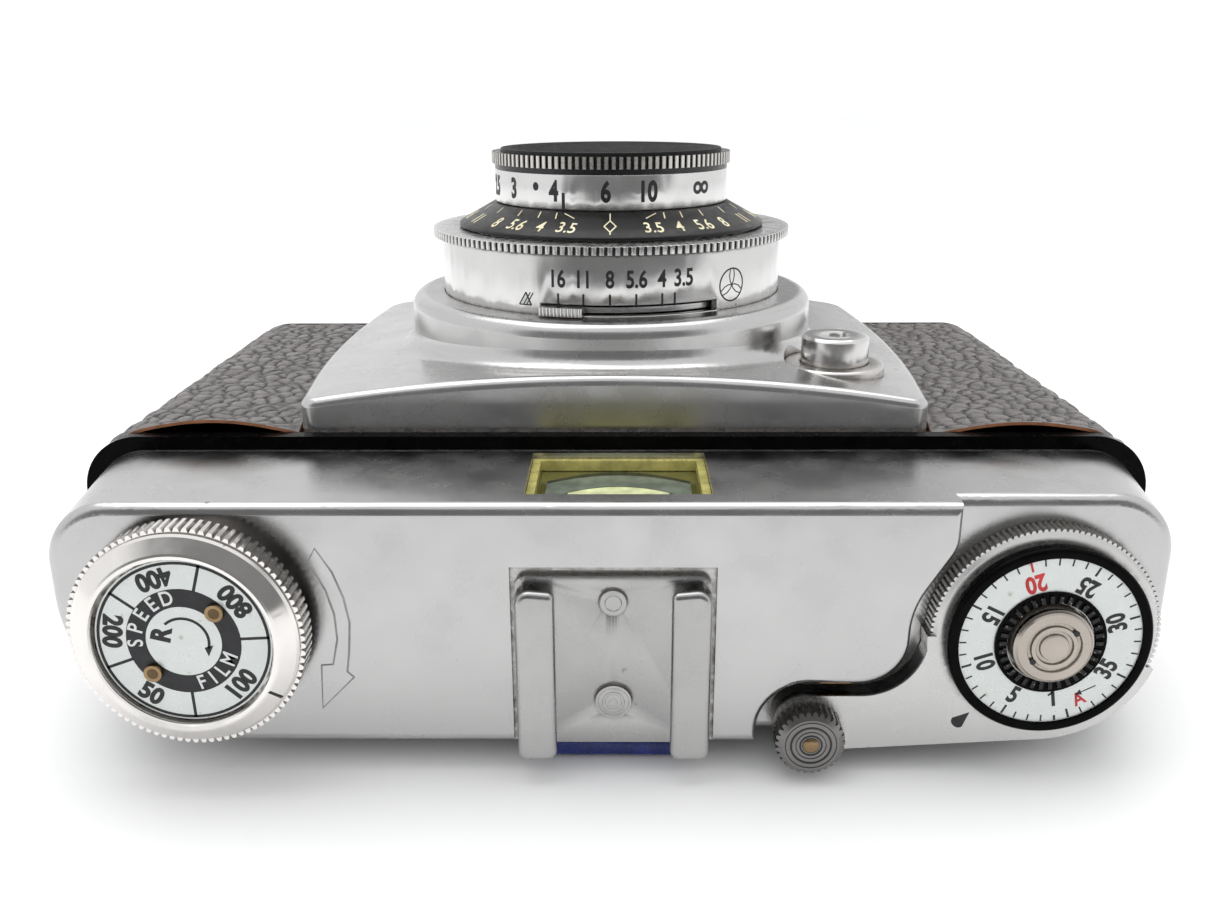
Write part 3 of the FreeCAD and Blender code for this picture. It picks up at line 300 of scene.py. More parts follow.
def glass(name, tint, rough=0.02, coat=(0.5, 0.6, 1.0), through=0.9):
    material, tree, shader = new_material(name)
    smear = ramp(tree, noise_node(tree, 260.0, 4.0), [(0.35, grey(rough)), (0.8, grey(rough + 0.06))])
    tree.links.new(smear, shader.inputs["Roughness"])
    colour = ramp(tree, noise_node(tree, 150.0, 2.0), [(0.3, tint), (0.7, tuple(c * 0.92 for c in tint))])
    tree.links.new(colour, shader.inputs["Base Color"])
    shader.inputs["Transmission Weight"].default_value = through
    shader.inputs["IOR"].default_value = 1.6
    shader.inputs["Specular Tint"].default_value = (*coat, 1.0)
    shader.inputs["Coat Weight"].default_value = 0.6
    shader.inputs["Coat Roughness"].default_value = 0.03
    return material


def leather_material(name, crease_shade, top_sheen):
    """Dark pebbled leather: painted shade makes the creases darker and painted sheen makes the tops lighter;
    creases rougher than the tops.
    """
    material, tree, shader = new_material(name)
    shader.inputs["Specular IOR Level"].default_value = 0.85
    geometry = tree.nodes.new("ShaderNodeNewGeometry")
    # painted shade in the creases and painted sheen on the pebble tops, by the mesh's pointiness
    colour = ramp(tree, geometry.outputs["Pointiness"], [(0.476, crease_shade), (0.509, top_sheen)])
    cloud = ramp(tree, noise_node(tree, 240.0, 4.0), [(0.3, (0.72, 0.67, 0.65)), (0.7, (1.2, 1.16, 1.14))])
    colour = mix_colour(tree, 1.0, colour, cloud, "MULTIPLY")
    tree.links.new(colour, shader.inputs["Base Color"])
    gloss = ramp(tree, noise_node(tree, 1800.0, 3.0), [(0.3, grey(0.3)), (0.7, grey(0.5))])
    tree.links.new(gloss, shader.inputs["Roughness"])
    fine = noise_node(tree, 4200.0, 3.0)
    bump(tree, shader, fine, 0.6, 0.03 * MM)
    return material


M = {
    "satin": cover_metal("satin_chrome"),
    "plate": metal("satin_plate", 0.52, 0.24, 0.01, 300.0, 9000.0, 0.003, 0.015, 1.2, (0.16, 0.1, 0.06)),
    "lever": lever_metal("lever_chrome"),
    "shoe": metal("shoe_chrome", 0.41, 0.25, 0.03, 500.0, 9000.0, 0.004, 0.02, 1.6, (0.1, 0.075, 0.045)),
    "knob": turned_metal("knob_nickel", 0.78, 0.16, "Y", 0.16, 0.06),
    "roller": turned_metal("roller_nickel", 0.2, 0.26, "Y", 0.12, 0.05),
    "nut": turned_metal("nut_nickel", 0.4, 0.2, "Y", 0.1, 0.2),
    "barrel": turned_metal("barrel_chrome", 0.66, 0.2, "Z", 0.1, 0.02),
    "button": turned_metal("button_chrome", 0.66, 0.2, "Z", 0.12, 0.03),
    "collar": metal("collar_worn", 0.6, 0.28, 0.05, 900.0, 9000.0, 0.006, 0.06, 0.9, (0.14, 0.07, 0.03)),
    "steel": metal("inner_steel", 0.45, 0.32, 0.04),
    "pin": metal("dark_brass", 0.12, 0.35, 0.03, 1200.0, 9000.0, 0.006, 0.6),
    "brass": metal("aged_brass", 0.28, 0.3, 0.06, 1200.0, 9000.0, 0.006, 0.62),
    "black": paint("black_enamel", (0.0012, 0.0012, 0.0012), 0.2, 0.0, 5000.0, 0.04),
    "cone": paint("scale_black", (0.006, 0.0055, 0.0055), 0.34, 0.0, 5000.0, 0.35),
    "grip": ridged("worn_black", node_box("focus_grip")[1][0] - 0.09, grey(0.004), (0.62, 0.6, 0.57), 0.25),
    "serrated": ridged("serrated_ring", node_box("speed_ring")[1][0] - 0.12, grey(0.012), (0.62, 0.62, 0.61),
                       0.26, True),
    "teeth": paint("black_teeth", (0.005, 0.005, 0.005), 0.35, 0.04, 5000.0, 0.3),
    "matt": paint("matt_black", (0.006, 0.006, 0.006), 0.5, 0.0, 5000.0, 0.25),
    # painted reflection: the eyepiece bezel is coloured navy for the blue reflection seen there
    "blue_reflection_tone": paint("navy_painted_reflection", (0.008, 0.016, 0.1), 0.25, 0.0, 5000.0, 0.4),
    "white": enamel("dial_white", (0.6, 0.625, 0.61)),
    "ink": paint("black_ink", (0.006, 0.006, 0.008), 0.45),
    "red": paint("red_ink", (0.36, 0.012, 0.016), 0.45),
    "cream": paint("cream_ink", (0.72, 0.62, 0.42), 0.5),
    "shade": paint("engraved_line", (0.2, 0.2, 0.2), 0.4),
    "gilt": paint("gilt_frame", (0.34, 0.31, 0.1), 0.25),
    "lens_dark": paint("lens_edge_dark", (0.02, 0.026, 0.02), 0.15),
    "lens_mid": paint("lens_edge_green", (0.12, 0.14, 0.11), 0.15),
    # painted highlight: the pale band drawn on the finder window
    "lens_pale_highlight": paint("lens_edge_painted_highlight", (0.5, 0.53, 0.3), 0.15),
    "glass": glass("lens_glass", (0.85, 0.9, 0.95), 0.01, (0.55, 0.5, 1.0)),
    "window": glass("window_glass", (0.62, 0.6, 0.2), 0.02, (1.0, 0.95, 0.45), 0.85),
    # painted reflection: the eyepiece glass is tinted deep blue for the same blue reflection
    "eye": glass("eyepiece_glass", (0.05, 0.08, 0.3), 0.03, (0.4, 0.5, 1.0), 0.3),
    "leather": leather_material("dark_leather", (0.007, 0.006, 0.006), (0.112, 0.105, 0.099)),
    "raw": paint("raw_leather_edge", (0.2, 0.085, 0.04), 0.75, 0.0, 5000.0, 0.3),
}

NODE_MATERIAL = {
    "satin": ["top_cover", "bottom_cover"],
    "plate": ["front_plate"],
    "lever": ["wind_lever", "hinge_bracket", "door_latch"],
    "shoe": ["accessory_shoe", "shoe_rivets"],
    "knob": ["rewind_knob"],
    "roller": ["thumb_roller"],
    "nut": ["counter_nut"],
    "barrel": ["shutter_housing", "focus_barrel", "aperture_lever"],
    "serrated": ["speed_ring"],
    "blue_reflection_tone": ["eyepiece_bezel"],
    "button": ["release_button"],
    "collar": ["release_collar"],
    "steel": ["bottom_screws", "hinge_pin", "rewind_shaft", "rewind_sleeve", "lens_mount", "film_sprocket",
              "idler_gear", "rewind_release_button"],
    "brass": ["tripod_bush", "roller_pin", "reminder_pins", "sync_socket"],
    "black": ["body_casting", "casting_rewind_side", "casting_wind_side", "back_door", "counter_rim"],
    "cone": ["depth_scale"],
    "grip": ["focus_grip"],
    "matt": ["front_lens_cell", "viewfinder_tube", "film_gate", "pressure_plate", "take_up_spool"],
    "white": ["counter_dial", "film_reminder_disc"],
    "glass": ["middle_lens", "rear_lens", "front_lens"],
    "window": ["viewfinder_window"],
    "eye": ["eyepiece_lens"],
    "gilt": ["window_frame"],
    "leather": ["leather_left", "leather_right", "back_leather"],
}
BLADES = [f"iris_blade_{i + 1}" for i in range(5)] + [f"shutter_blade_{i + 1}" for i in range(2)]
NODE_MATERIAL["matt"] += BLADES

# edge rounding of the carried-over nodes, in mm
ROUNDED_EDGES = {
    "shutter_housing": 0.15, "depth_scale": 0.12, "focus_barrel": 0.12, "speed_ring": 0.06,
    "release_button": 0.1, "release_collar": 0.1, "counter_rim": 0.1, "front_lens_cell": 0.1,
    "accessory_shoe": 0.18, "door_latch": 0.2, "hinge_bracket": 0.15, "shoe_rivets": 0.12,
    "eyepiece_bezel": 0.2, "roller_pin": 0.06,
}


def finish_node(name, key):
    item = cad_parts[name]
    item.data.materials.clear()
    item.data.materials.append(M[key])
    item.data.shade_smooth()
    item.data.set_sharp_from_angle(angle=math.radians(32))
    if name in ROUNDED_EDGES:
        item.modifiers.new("joined_faces", "WELD").merge_threshold = 1e-6
        bevel = item.modifiers.new("rounded_edges", "BEVEL")
        bevel.width = ROUNDED_EDGES[name] * MM
        bevel.segments = 2
        bevel.limit_method = "ANGLE"
        bevel.angle_limit = math.radians(38)
        bevel.harden_normals = True


for key, names in NODE_MATERIAL.items():
    for name in names:
        finish_node(name, key)


# ---------------------------------------------------------------- drawing flat marks and wrapping them

def add_object(name, verts, faces, materials, body, smooth=None):
    mesh = bpy.data.meshes.new(name)
    mesh.from_pydata([tuple(c * MM for c in v) for v in verts], [], faces)
    mesh.validate()
    for material in materials:
        mesh.materials.append(material)
    if smooth is not None:
        mesh.shade_smooth()
        mesh.set_sharp_from_angle(angle=math.radians(smooth))
    item = bpy.data.objects.new(name, mesh)
    bpy.context.collection.objects.link(item)
    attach(item, body)
    return item


class Drawing:
    """Thin raised marks drawn on a flat sheet (u right, v up), then laid on a surface."""

    def __init__(self, thick=0.03):
        self.verts = []
        self.faces = []
        self.thick = thick

    def prism(self, outline):
        base = len(self.verts)
        n = len(outline)
        self.verts += [(u, v, 0.0) for u, v in outline] + [(u, v, self.thick) for u, v in outline]
        self.faces.append([base + i for i in range(n)][::-1])
        self.faces.append([base + n + i for i in range(n)])
        for i in range(n):
            j = (i + 1) % n
            self.faces.append([base + i, base + j, base + n + j, base + n + i])

    def bar(self, u0, v0, u1, v1, width):
        along = Vector((u1 - u0, v1 - v0)).normalized()
        side = Vector((-along.y, along.x)) * width / 2
        self.prism([(u0 - side.x, v0 - side.y), (u1 - side.x, v1 - side.y),
                    (u1 + side.x, v1 + side.y), (u0 + side.x, v0 + side.y)])

    def path(self, points, width, closed=False):
        pairs = list(zip(points, points[1:] + points[:1]))
        for (u0, v0), (u1, v1) in pairs if closed else pairs[:-1]:
            self.bar(u0, v0, u1, v1, width)

    def arc(self, r0, r1, start, stop, steps=48):
        """A flat arc band between two radii about the sheet's origin."""
        angles = [math.radians(start + (stop - start) * i / steps) for i in range(steps + 1)]
        for a, b in zip(angles, angles[1:]):
            self.prism([(r0 * math.cos(a), r0 * math.sin(a)), (r1 * math.cos(a), r1 * math.sin(a)),
                        (r1 * math.cos(b), r1 * math.sin(b)), (r0 * math.cos(b), r0 * math.sin(b))])

    def text(self, string, size, at=(0.0, 0.0), turn=0.0, squeeze=0.85, bold=0.0):
        curve = bpy.data.curves.new("lettering", "FONT")
        curve.body = string
        curve.size = size
        curve.align_x = "CENTER"
        curve.align_y = "CENTER"
        curve.extrude = self.thick / 2
        curve.offset = bold
        curve.resolution_u = 4
        item = bpy.data.objects.new("lettering", curve)
        mesh = bpy.data.meshes.new_from_object(item)
        c, s = math.cos(math.radians(turn)), math.sin(math.radians(turn))
        base = len(self.verts)
        for vert in mesh.vertices:
            u, v = vert.co.x * squeeze, vert.co.y
            self.verts.append((at[0] + u * c - v * s, at[1] + u * s + v * c, vert.co.z + self.thick / 2))
        self.faces += [[base + i for i in face.vertices] for face in mesh.polygons]
        bpy.data.objects.remove(item)
        bpy.data.curves.remove(curve)
        bpy.data.meshes.remove(mesh)

    def lay(self, name, surface, key, body, slot):
        return add_object(name, [surface(*v) for v in self.verts], self.faces, [M[key]], body)


def top_surface(x, z, rise):
    """Sheet laid on the camera's top: u to +X, v to +Z, raised towards -Y."""
    return lambda u, v, w: (x + u, rise - w, z + v)


def barrel_surface(radius, z, sink=0.0):
    """Sheet wrapped round a barrel about the lens axis, its middle facing the viewer."""
    def surface(u, v, w):
        angle = math.radians(NEAR) + u / radius
        return ((radius + w - sink) * math.cos(angle), (radius + w - sink) * math.sin(angle), z + v)
    return surface


def cone_surface(r_low, z_low, r_high, z_high):
    """Sheet wrapped on the scale cone; v runs up the slope from its middle."""
    slope = math.atan2(z_high - z_low, r_low - r_high)
    r_mid, z_mid = (r_low + r_high) / 2, (z_low + z_high) / 2

    def surface(u, v, w):
        angle = math.radians(NEAR) + u / r_mid
        radius = r_mid - v * math.cos(slope) + w * math.sin(slope)
        z = z_mid + v * math.sin(slope) + w * math.cos(slope)
        return (radius * math.cos(angle), radius * math.sin(angle), z)
    return surface


def circle(u, v, radius, points=24, height=None):
    """Points round a circle, or round an ellipse when a half height is given."""
    height = radius if height is None else height
    turns = [2 * math.pi * i / points for i in range(points)]
    return [(u + radius * math.cos(a), v + height * math.sin(a)) for a in turns]


def arc_length(angle, radius):
    return math.radians(angle) * radius


def lathe(name, profile, key, body, place, steps=96, smooth=35):
    """A turned piece from (radius, height) corners, put in place by a function of (u, v, w)."""
    verts, faces = [], []
    rows = []
    for r, w in profile:
        if r == 0:
            rows.append([len(verts)])
            verts.append(place(0, 0, w))
            continue
        rows.append(list(range(len(verts), len(verts) + steps)))
        for i in range(steps):
            a = 2 * math.pi * i / steps
            verts.append(place(r * math.cos(a), r * math.sin(a), w))
    for low, high in zip(rows, rows[1:]):
        for i in range(steps):
            j = (i + 1) % steps
            quad = [low[i % len(low)], low[j % len(low)], high[j % len(high)], high[i % len(high)]]
            unique = list(dict.fromkeys(quad))
            if len(unique) > 2:
                faces.append(unique)
    return add_object(name, verts, faces, [M[key]], body, smooth)


# ---------------------------------------------------------------- lens scales

def focus_scale():
    drawing = Drawing(0.05)
    scale = [("2.5", -74.0), ("3", -52.3), ("4", -26.8), ("6", -2.0), ("10", 17.3),
             ("2", -104.0), ("1.5", -160.0), ("1.2", 152.0), ("1", 120.0)]
    for text, angle in scale:
        drawing.text(text, 3.6, (arc_length(angle, FOCUS_R), 0.1), 0, 0.74, 0.13)
    drawing.text("1", 3.0, (arc_length(-21.9, FOCUS_R), -1.25), 0, 0.74, 0.14)
    for side in (-1, 1):
        middle_u = arc_length(47.5, FOCUS_R) + side * 0.72
        drawing.path(circle(middle_u, 0.35, 0.62, 24, 0.6), 0.46, True)
    drawing.prism(circle(arc_length(-36.8, FOCUS_R), 0.7, 0.46, 16, 0.55))
    drawing.lay("focus_scale_marks", barrel_surface(FOCUS_R, 60.95, 0.02), "ink", "focus_ring", "black_paint")


def aperture_scale():
    drawing = Drawing(0.05)
    stops = [("16", -16.1), ("11", -8.1), ("8", 0.0), ("5.6", 8.0), ("4", 15.8), ("3.5", 22.8)]
    ticks = [-15.8, -8.0, 0.0, 7.9, 15.9, 19.9]
    for (text, angle), tick in zip(stops, ticks):
        drawing.text(text, 3.05, (arc_length(angle, BARREL_R), 1.35), 0, 0.74, 0.07)
        x = arc_length(tick, BARREL_R)
        drawing.bar(x, -2.05, x, -0.4, 0.26)
    barrel = barrel_surface(BARREL_R, 49.75, 0.02)
    drawing.lay("aperture_scale_marks", barrel, "ink", "camera_body", "black_paint")


def pointer_sheet():
    """Where the aperture scale ends: the surface there, and how far round it the pointer stands."""
    return barrel_surface(BARREL_R, FLANGE_TOP + 1.9, 0.02), arc_length(-26.0, BARREL_R)


def aperture_pointer():
    """The outlined triangle at the end of the aperture scale."""
    surface, x = pointer_sheet()
    outline = Drawing(0.06)
    for step in (0.0, 0.62, 1.05):
        outline.bar(x - 1.2 + step, -0.75, x - 0.2 + step, 0.85, 0.14)
    outline.bar(x - 1.2, -0.75, x + 0.55, -0.75, 0.14)
    outline.bar(x + 0.55, -0.75, x - 0.2, 0.85, 0.14)
    outline.lay("aperture_pointer", surface, "ink", "camera_body", "black_paint")


def barrel_emblem():
    """A plain emblem: a ring with three arms."""
    emblem = Drawing(0.04)
    centre = arc_length(41.0, BARREL_R)
    emblem.path(circle(centre, 0.0, 2.1, 48), 0.2, True)
    blade = [(1.95, -0.3), (1.2, -0.45), (0.45, -0.3), (0.0, 0.0), (0.45, 0.3), (1.2, 0.45), (1.95, 0.3)]
    for arm in (90.0, 210.0, 330.0):
        a = math.radians(arm)
        side_u, side_v = -math.sin(a), math.cos(a)
        points = [(centre + r * math.cos(a) + w * side_u, r * math.sin(a) + w * side_v) for r, w in blade]
        emblem.path(points, 0.14)
    emblem.lay("barrel_emblem", barrel_surface(BARREL_R, 49.6, 0.02), "ink", "camera_body", "black_paint")


def aperture_pointer_fill():
    """The light fill inside the pointer's outline."""
    surface, x = pointer_sheet()
    inside = Drawing(0.05)
    inside.prism([(x - 0.95, -0.62), (x + 0.35, -0.62), (x - 0.22, 0.6)])
    inside.lay("aperture_pointer_fill", surface, "white", "camera_body", "white_dial")


def depth_scale_marks():
    low_z, top_r = 56.0, 16.6
    surface = cone_surface(CONE_HIGH[0], low_z, top_r, CONE_HIGH[2])
    r_mid = (CONE_HIGH[0] + top_r) / 2
    drawing = Drawing(0.04)
    for sign in (-1, 1):
        lean = -4 if sign < 0 else -2
        stops = [("3.5", 16.3, 0.0), ("4", 26.9, 23.2), ("5.6", 38.1, 31.5), ("8", 49.2, 42.6),
                 ("11", 66.0, 58.0), ("16", 82.0, 75.0)]
        for text, angle, line in stops:
            drawing.text(text, 3.0, (arc_length(sign * angle, r_mid), -0.85), lean, 0.72, 0.02)
            if line:
                x = arc_length(sign * line, r_mid)
                drawing.bar(x + sign * 0.25, 2.4, x - sign * 0.1, 1.1, 0.17)
        start = arc_length(sign * 14.8, r_mid)
        drawing.bar(start, 1.25, start + sign * 1.8, 2.3, 0.14)
    drawing.path([(0.0, -1.55), (0.75, -0.35), (0.0, 0.85), (-0.75, -0.35)], 0.16, True)
    drawing.bar(0.0, -1.5, 0.0, -2.1, 0.16)
    drawing.bar(0.0, 0.8, 0.0, 2.4, 0.16)
    drawing.lay("depth_scale_marks", surface, "cream", "camera_body", "white_dial")


def speed_scale():
    drawing = Drawing(0.02)
    ring = 23.3
    for text, angle in (("200", 0.0), ("50", 9.5), ("25", 17.5), ("B", 25.0), ("100", -10.5)):
        a = math.radians(NEAR + angle)
        drawing.text(text, 1.45, (ring * math.cos(a), ring * math.sin(a)), angle + 180.0, 0.9, 0.0)

    def ring_top(u, v, w):
        return u, v, SPEED_TOP + w - 0.01

    drawing.lay("speed_scale_marks", ring_top, "shade", "speed_ring", "black_paint")


focus_scale()
aperture_scale()
aperture_pointer()
barrel_emblem()
aperture_pointer_fill()
depth_scale_marks()
speed_scale()


# ---------------------------------------------------------------- counter dial

def counter_marks():
    face = node_box("counter_dial")[0][1]
    surface = top_surface(WIND[0], WIND[2], face + 0.01)
    black, red = Drawing(0.03), Drawing(0.03)
    one, step = -80.5, 9.0       # angle of frame 1, and from each frame to the next
    for i in range(40):
        angle = math.radians(one - step * i)
        long = (i + 1) % 5 == 0
        inner = DIAL_R - (1.2 if long else 0.7 if i == 0 else 0.85)
        target = red if i == 19 else black
        outer = DIAL_R - 0.1
        width = 0.24 if long or i == 0 else 0.17
        target.bar(inner * math.cos(angle), inner * math.sin(angle),
                   outer * math.cos(angle), outer * math.sin(angle), width)
    numbers = [("1", 1), ("5", 5), ("10", 10), ("15", 15), ("20", 20), ("25", 25), ("30", 30), ("35", 35)]
    radius = DIAL_R - 2.55
    for text, number in numbers:
        angle = one - step * (number - 1)
        a = math.radians(angle)
        drawing = red if number == 20 else black
        reach = radius - (0.25 if number == 1 else 0.0)
        drawing.text(text, 2.75, (reach * math.cos(a), reach * math.sin(a)), angle + 90.0, 0.8, 0.1)
    black.bar(1.02, -6.15, 0.55, -6.55, 0.22)
    a = math.radians(-60.5)
    red.text("A", 2.2, ((radius + 0.75) * math.cos(a), (radius + 0.75) * math.sin(a)), 30.0, 0.85, 0.05)
    start, end = (5.6, -5.3), (4.1, -6.1)
    black.bar(*start, *end, 0.12)
    along = Vector((end[0] - start[0], end[1] - start[1])).normalized()
    side = Vector((-along.y, along.x))
    black.prism([(end[0] + along.x * 0.7, end[1] + along.y * 0.7),
                 (end[0] + side.x * 0.35, end[1] + side.y * 0.35),
                 (end[0] - side.x * 0.35, end[1] - side.y * 0.35)])
    black.lay("counter_marks", surface, "ink", "counter_dial", "black_paint")
    red.lay("counter_marks_red", surface, "red", "counter_dial", "black_paint")

    ring = Drawing(0.22)
    ring.arc(4.7, 6.0, 0, 360, 72)
    ring.lay("counter_setting_ring", surface, "black", "counter_dial", "black_paint")
    ridges = Drawing(0.24)
    for i in range(34):
        a = 2 * math.pi * i / 34
        ridges.bar(4.75 * math.cos(a), 4.75 * math.sin(a), 5.6 * math.cos(a), 5.6 * math.sin(a), 0.42)
    above = top_surface(WIND[0], WIND[2], face - 0.2)
    ridges.lay("counter_ring_teeth", above, "teeth", "counter_dial", "black_paint")

    top = node_box("counter_nut")[0][1]
    place = top_surface(WIND[0], WIND[2], top + 0.45)
    rings = [(4.32, -0.6), (4.3, 0.1), (4.05, 0.3), (3.2, 0.42), (2.95, 0.42), (2.85, 0.2), (2.55, 0.2),
             (2.45, 0.45), (2.05, 0.45), (1.95, 0.2), (1.6, 0.2), (1.5, 0.4), (1.2, 0.47), (0.0, 0.47)]
    lathe("counter_nut_face", rings, "nut", "wind_lever", place)
    # painted shade: black discs stand for the dark insides of the nut's two holes
    hole_shade = Drawing(0.05)
    for a in (38.0, 218.0):
        u, v = 2.72 * math.cos(math.radians(a)), 2.72 * math.sin(math.radians(a))
        hole_shade.prism(circle(u, v, 0.34, 16))
    nut_top = top_surface(WIND[0], WIND[2], top + 0.04)
    hole_shade.lay("counter_nut_hole_shade", nut_top, "ink", "wind_lever", "black_paint")

    index = Drawing(0.03)
    tip = Vector((WIND[0] - 7.4, WIND[2] - 9.4))
    tail = Vector((WIND[0] - 9.0, WIND[2] - 11.0))
    along = (tail - tip).normalized()
    side = Vector((-along.y, along.x))
    teardrop = [tip] + [tail - along * 0.5 + side * 0.8 * math.cos(t) + along * 0.6 * math.sin(t)
                        for t in [math.pi * i / 8 for i in range(9)]]
    index.prism([(p.x, p.y) for p in teardrop])
    index.lay("counter_index", top_surface(0, 0, RAISED_Y + 0.01), "ink", "wind_lever", "black_paint")


counter_marks()


# ---------------------------------------------------------------- film reminder disc and rewind knob

def reminder_marks():
    face = node_box("film_reminder_disc")[0][1]
    surface = top_surface(REWIND[0], REWIND[2], face + 0.01)
    black = Drawing(0.03)
    black.arc(REMINDER_R - 0.5, REMINDER_R - 0.18, 0, 360, 96)
    black.arc(4.0, 6.05, 0, 360, 72)
    borders = [73.7, 2.8, -88.6, -160.0, 141.7]
    for angle in borders:
        a = math.radians(angle)
        black.bar(6.0 * math.cos(a), 6.0 * math.sin(a), (REMINDER_R - 0.2) * math.cos(a),
                  (REMINDER_R - 0.2) * math.sin(a), 0.32)
    for text, start, stop in (("400", 141.7, 73.7), ("800", 73.7, 2.8), ("100", 2.8, -88.6),
                              ("50", -88.6, -160.0), ("200", 200.0, 141.7)):
        mid = (start + stop) / 2
        a = math.radians(mid)
        radius = 7.55
        black.text(text, 2.75, (radius * math.cos(a), radius * math.sin(a)), mid + 90.0, 0.92, 0.13)
    black.text("R", 2.8, (-2.2, 0.75), 76.0, 0.95, 0.13)
    black.arc(2.5, 2.8, 132, -18, 24)
    black.prism([(2.45, -1.75), (3.05, -0.45), (2.1, -0.75)])
    letters = Drawing(0.06)
    for word, turn, angles in (("FILM", 90.0, (-74.0, -58.5, -42.5, -24.0)),
                               ("SPEED", -90.0, (182.0, 162.5, 143.0, 123.5, 104.0))):
        for letter, angle in zip(word, angles):
            a = math.radians(angle)
            letters.text(letter, 2.3, (5.05 * math.cos(a), 5.05 * math.sin(a)), angle + turn, 0.85, 0.03)
    letters.lay("reminder_letters", surface, "white", "film_reminder", "white_dial")
    black.lay("reminder_marks", surface, "ink", "film_reminder", "black_paint")
    pins = top_surface(REWIND[0], REWIND[2], face)
    for number, angle in enumerate((43.0, 225.0), start=1):
        u, v = 5.05 * math.cos(math.radians(angle)), 5.05 * math.sin(math.radians(angle))
        profile = [(0.96, 0.0), (0.96, 0.3), (0.85, 0.42), (0.8, 0.32), (0.68, 0.32), (0.6, 0.56),
                   (0.3, 0.58), (0.0, 0.52)]
        lathe(f"reminder_pin_{number}", profile, "pin", "film_reminder",
              lambda a, b, w, u=u, v=v: pins(u + a, v + b, w), 24)
    line = Drawing(0.04)
    a, b = math.radians(-32.0), math.radians(-34.5)
    knob_face = node_box("rewind_knob")[0][1]
    line.bar(10.3 * math.cos(a), 10.3 * math.sin(a), 11.8 * math.cos(b), 11.8 * math.sin(b), 0.32)
    slope = 0.66

    def rim(u, v, w):
        return REWIND[0] + u, knob_face + 0.08 + slope * (math.hypot(u, v) - 10.3) - w, REWIND[2] + v

    line.lay("rewind_index", rim, "ink", "rewind_knob", "black_paint")


reminder_marks()


# ---------------------------------------------------------------- marks on the top plate

def closed_tube(name, points, radius, key, body):
    curve = bpy.data.curves.new(name, "CURVE")
    curve.dimensions = "3D"
    curve.bevel_depth = radius * MM
    curve.bevel_resolution = 2
    spline = curve.splines.new("POLY")
    spline.points.add(len(points) - 1)
    for point, target in zip(points, spline.points):
        target.co = (*[c * MM for c in point], 1.0)
    spline.use_cyclic_u = True
    curve.materials.append(M[key])
    item = bpy.data.objects.new(name, curve)
    bpy.context.collection.objects.link(item)
    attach(item, body)


def rewind_arrow():
    """The curved arrow engraved beside the rewind knob, pointing to the back."""
    outer = [(-31.4, 27.4), (-29.75, 24.6), (-28.75, 21.6), (-28.3, 18.6), (-28.6, 15.2), (-29.0, 12.6)]
    head = [(-28.3, 11.9), (-32.1, 8.0), (-31.8, 13.4)]
    inner = [(-30.5, 13.5), (-29.8, 16.6), (-29.9, 19.6), (-30.6, 22.4), (-32.2, 25.9)]
    points = [(x, RAISED_Y + 0.02, z) for x, z in outer + head + inner]
    closed_tube("rewind_arrow_outline", points, 0.12, "shade", "camera_body")


def rivet_rings():
    place = top_surface(SHOE_X, 9.2, node_box("shoe_rivets")[0][1] + 0.02)
    profile = [(2.0, 0.0), (2.0, 0.05), (1.75, 0.07), (1.65, -0.02), (1.3, -0.02), (1.2, 0.06), (0.95, 0.06),
               (0.85, -0.03), (0.5, -0.03), (0.42, 0.05), (0.0, 0.05)]
    lathe("shoe_rivet_rings", profile, "shoe", "camera_body", place, 48, 20)
    place = top_surface(SHOE_X, 21.25, node_box("shoe_rivets")[0][1] + 0.02)
    profile = [(1.5, -0.02), (1.42, 0.06), (0.95, 0.1), (0.85, 0.02), (0.0, 0.04)]
    lathe("shoe_rivet_head", profile, "shoe", "camera_body", place, 40, 20)


def roller_top():
    face = node_box("thumb_roller")[0][1]
    place = top_surface(ROLLER[0], ROLLER[2], face + 0.05)
    profile = [(3.05, 0.0), (2.75, 0.06), (2.35, 0.06), (2.28, -0.05), (2.1, -0.05), (2.02, 0.06),
               (1.4, 0.04), (1.25, -0.12), (0.95, -0.12)]
    lathe("roller_rings", profile, "roller", "thumb_roller", place, 64, 20)
    rings = Drawing(0.04)
    for inner, outer in ((1.1, 1.28), (1.62, 1.7), (2.1, 2.3), (2.78, 2.86)):
        rings.arc(inner, outer, 0, 360, 48)
    above = top_surface(ROLLER[0], ROLLER[2], face - 0.01)
    rings.lay("roller_ring_lines", above, "ink", "thumb_roller", "bright_metal")


def slot_spring():
    """The brass strip that shows in the slot in front of the wind lever."""
    y = node_box("wind_lever")[0][1] + 1.3
    verts = [(x, yy, z) for x in (23.5, 27.2) for yy in (y, y + 1.1) for z in (10.35, 10.85)]
    faces = [[0, 1, 3, 2], [4, 6, 7, 5], [0, 4, 5, 1], [2, 3, 7, 6], [0, 2, 6, 4], [1, 5, 7, 3]]
    strip = add_object("slot_spring_strip", verts, faces, [M["brass"]], "camera_body")
    bevel = strip.modifiers.new("rounded_edges", "BEVEL")
    bevel.width = 0.12 * MM
    bevel.segments = 2


rewind_arrow()
rivet_rings()
roller_top()
slot_spring()


# ---------------------------------------------------------------- leather

PEBBLE_MM = 2.2              # leather grain
PLATE_BOW = 2.94             # how far the plate's bowed side draws in at its ends
PLATE_HALF_Y = 32.5


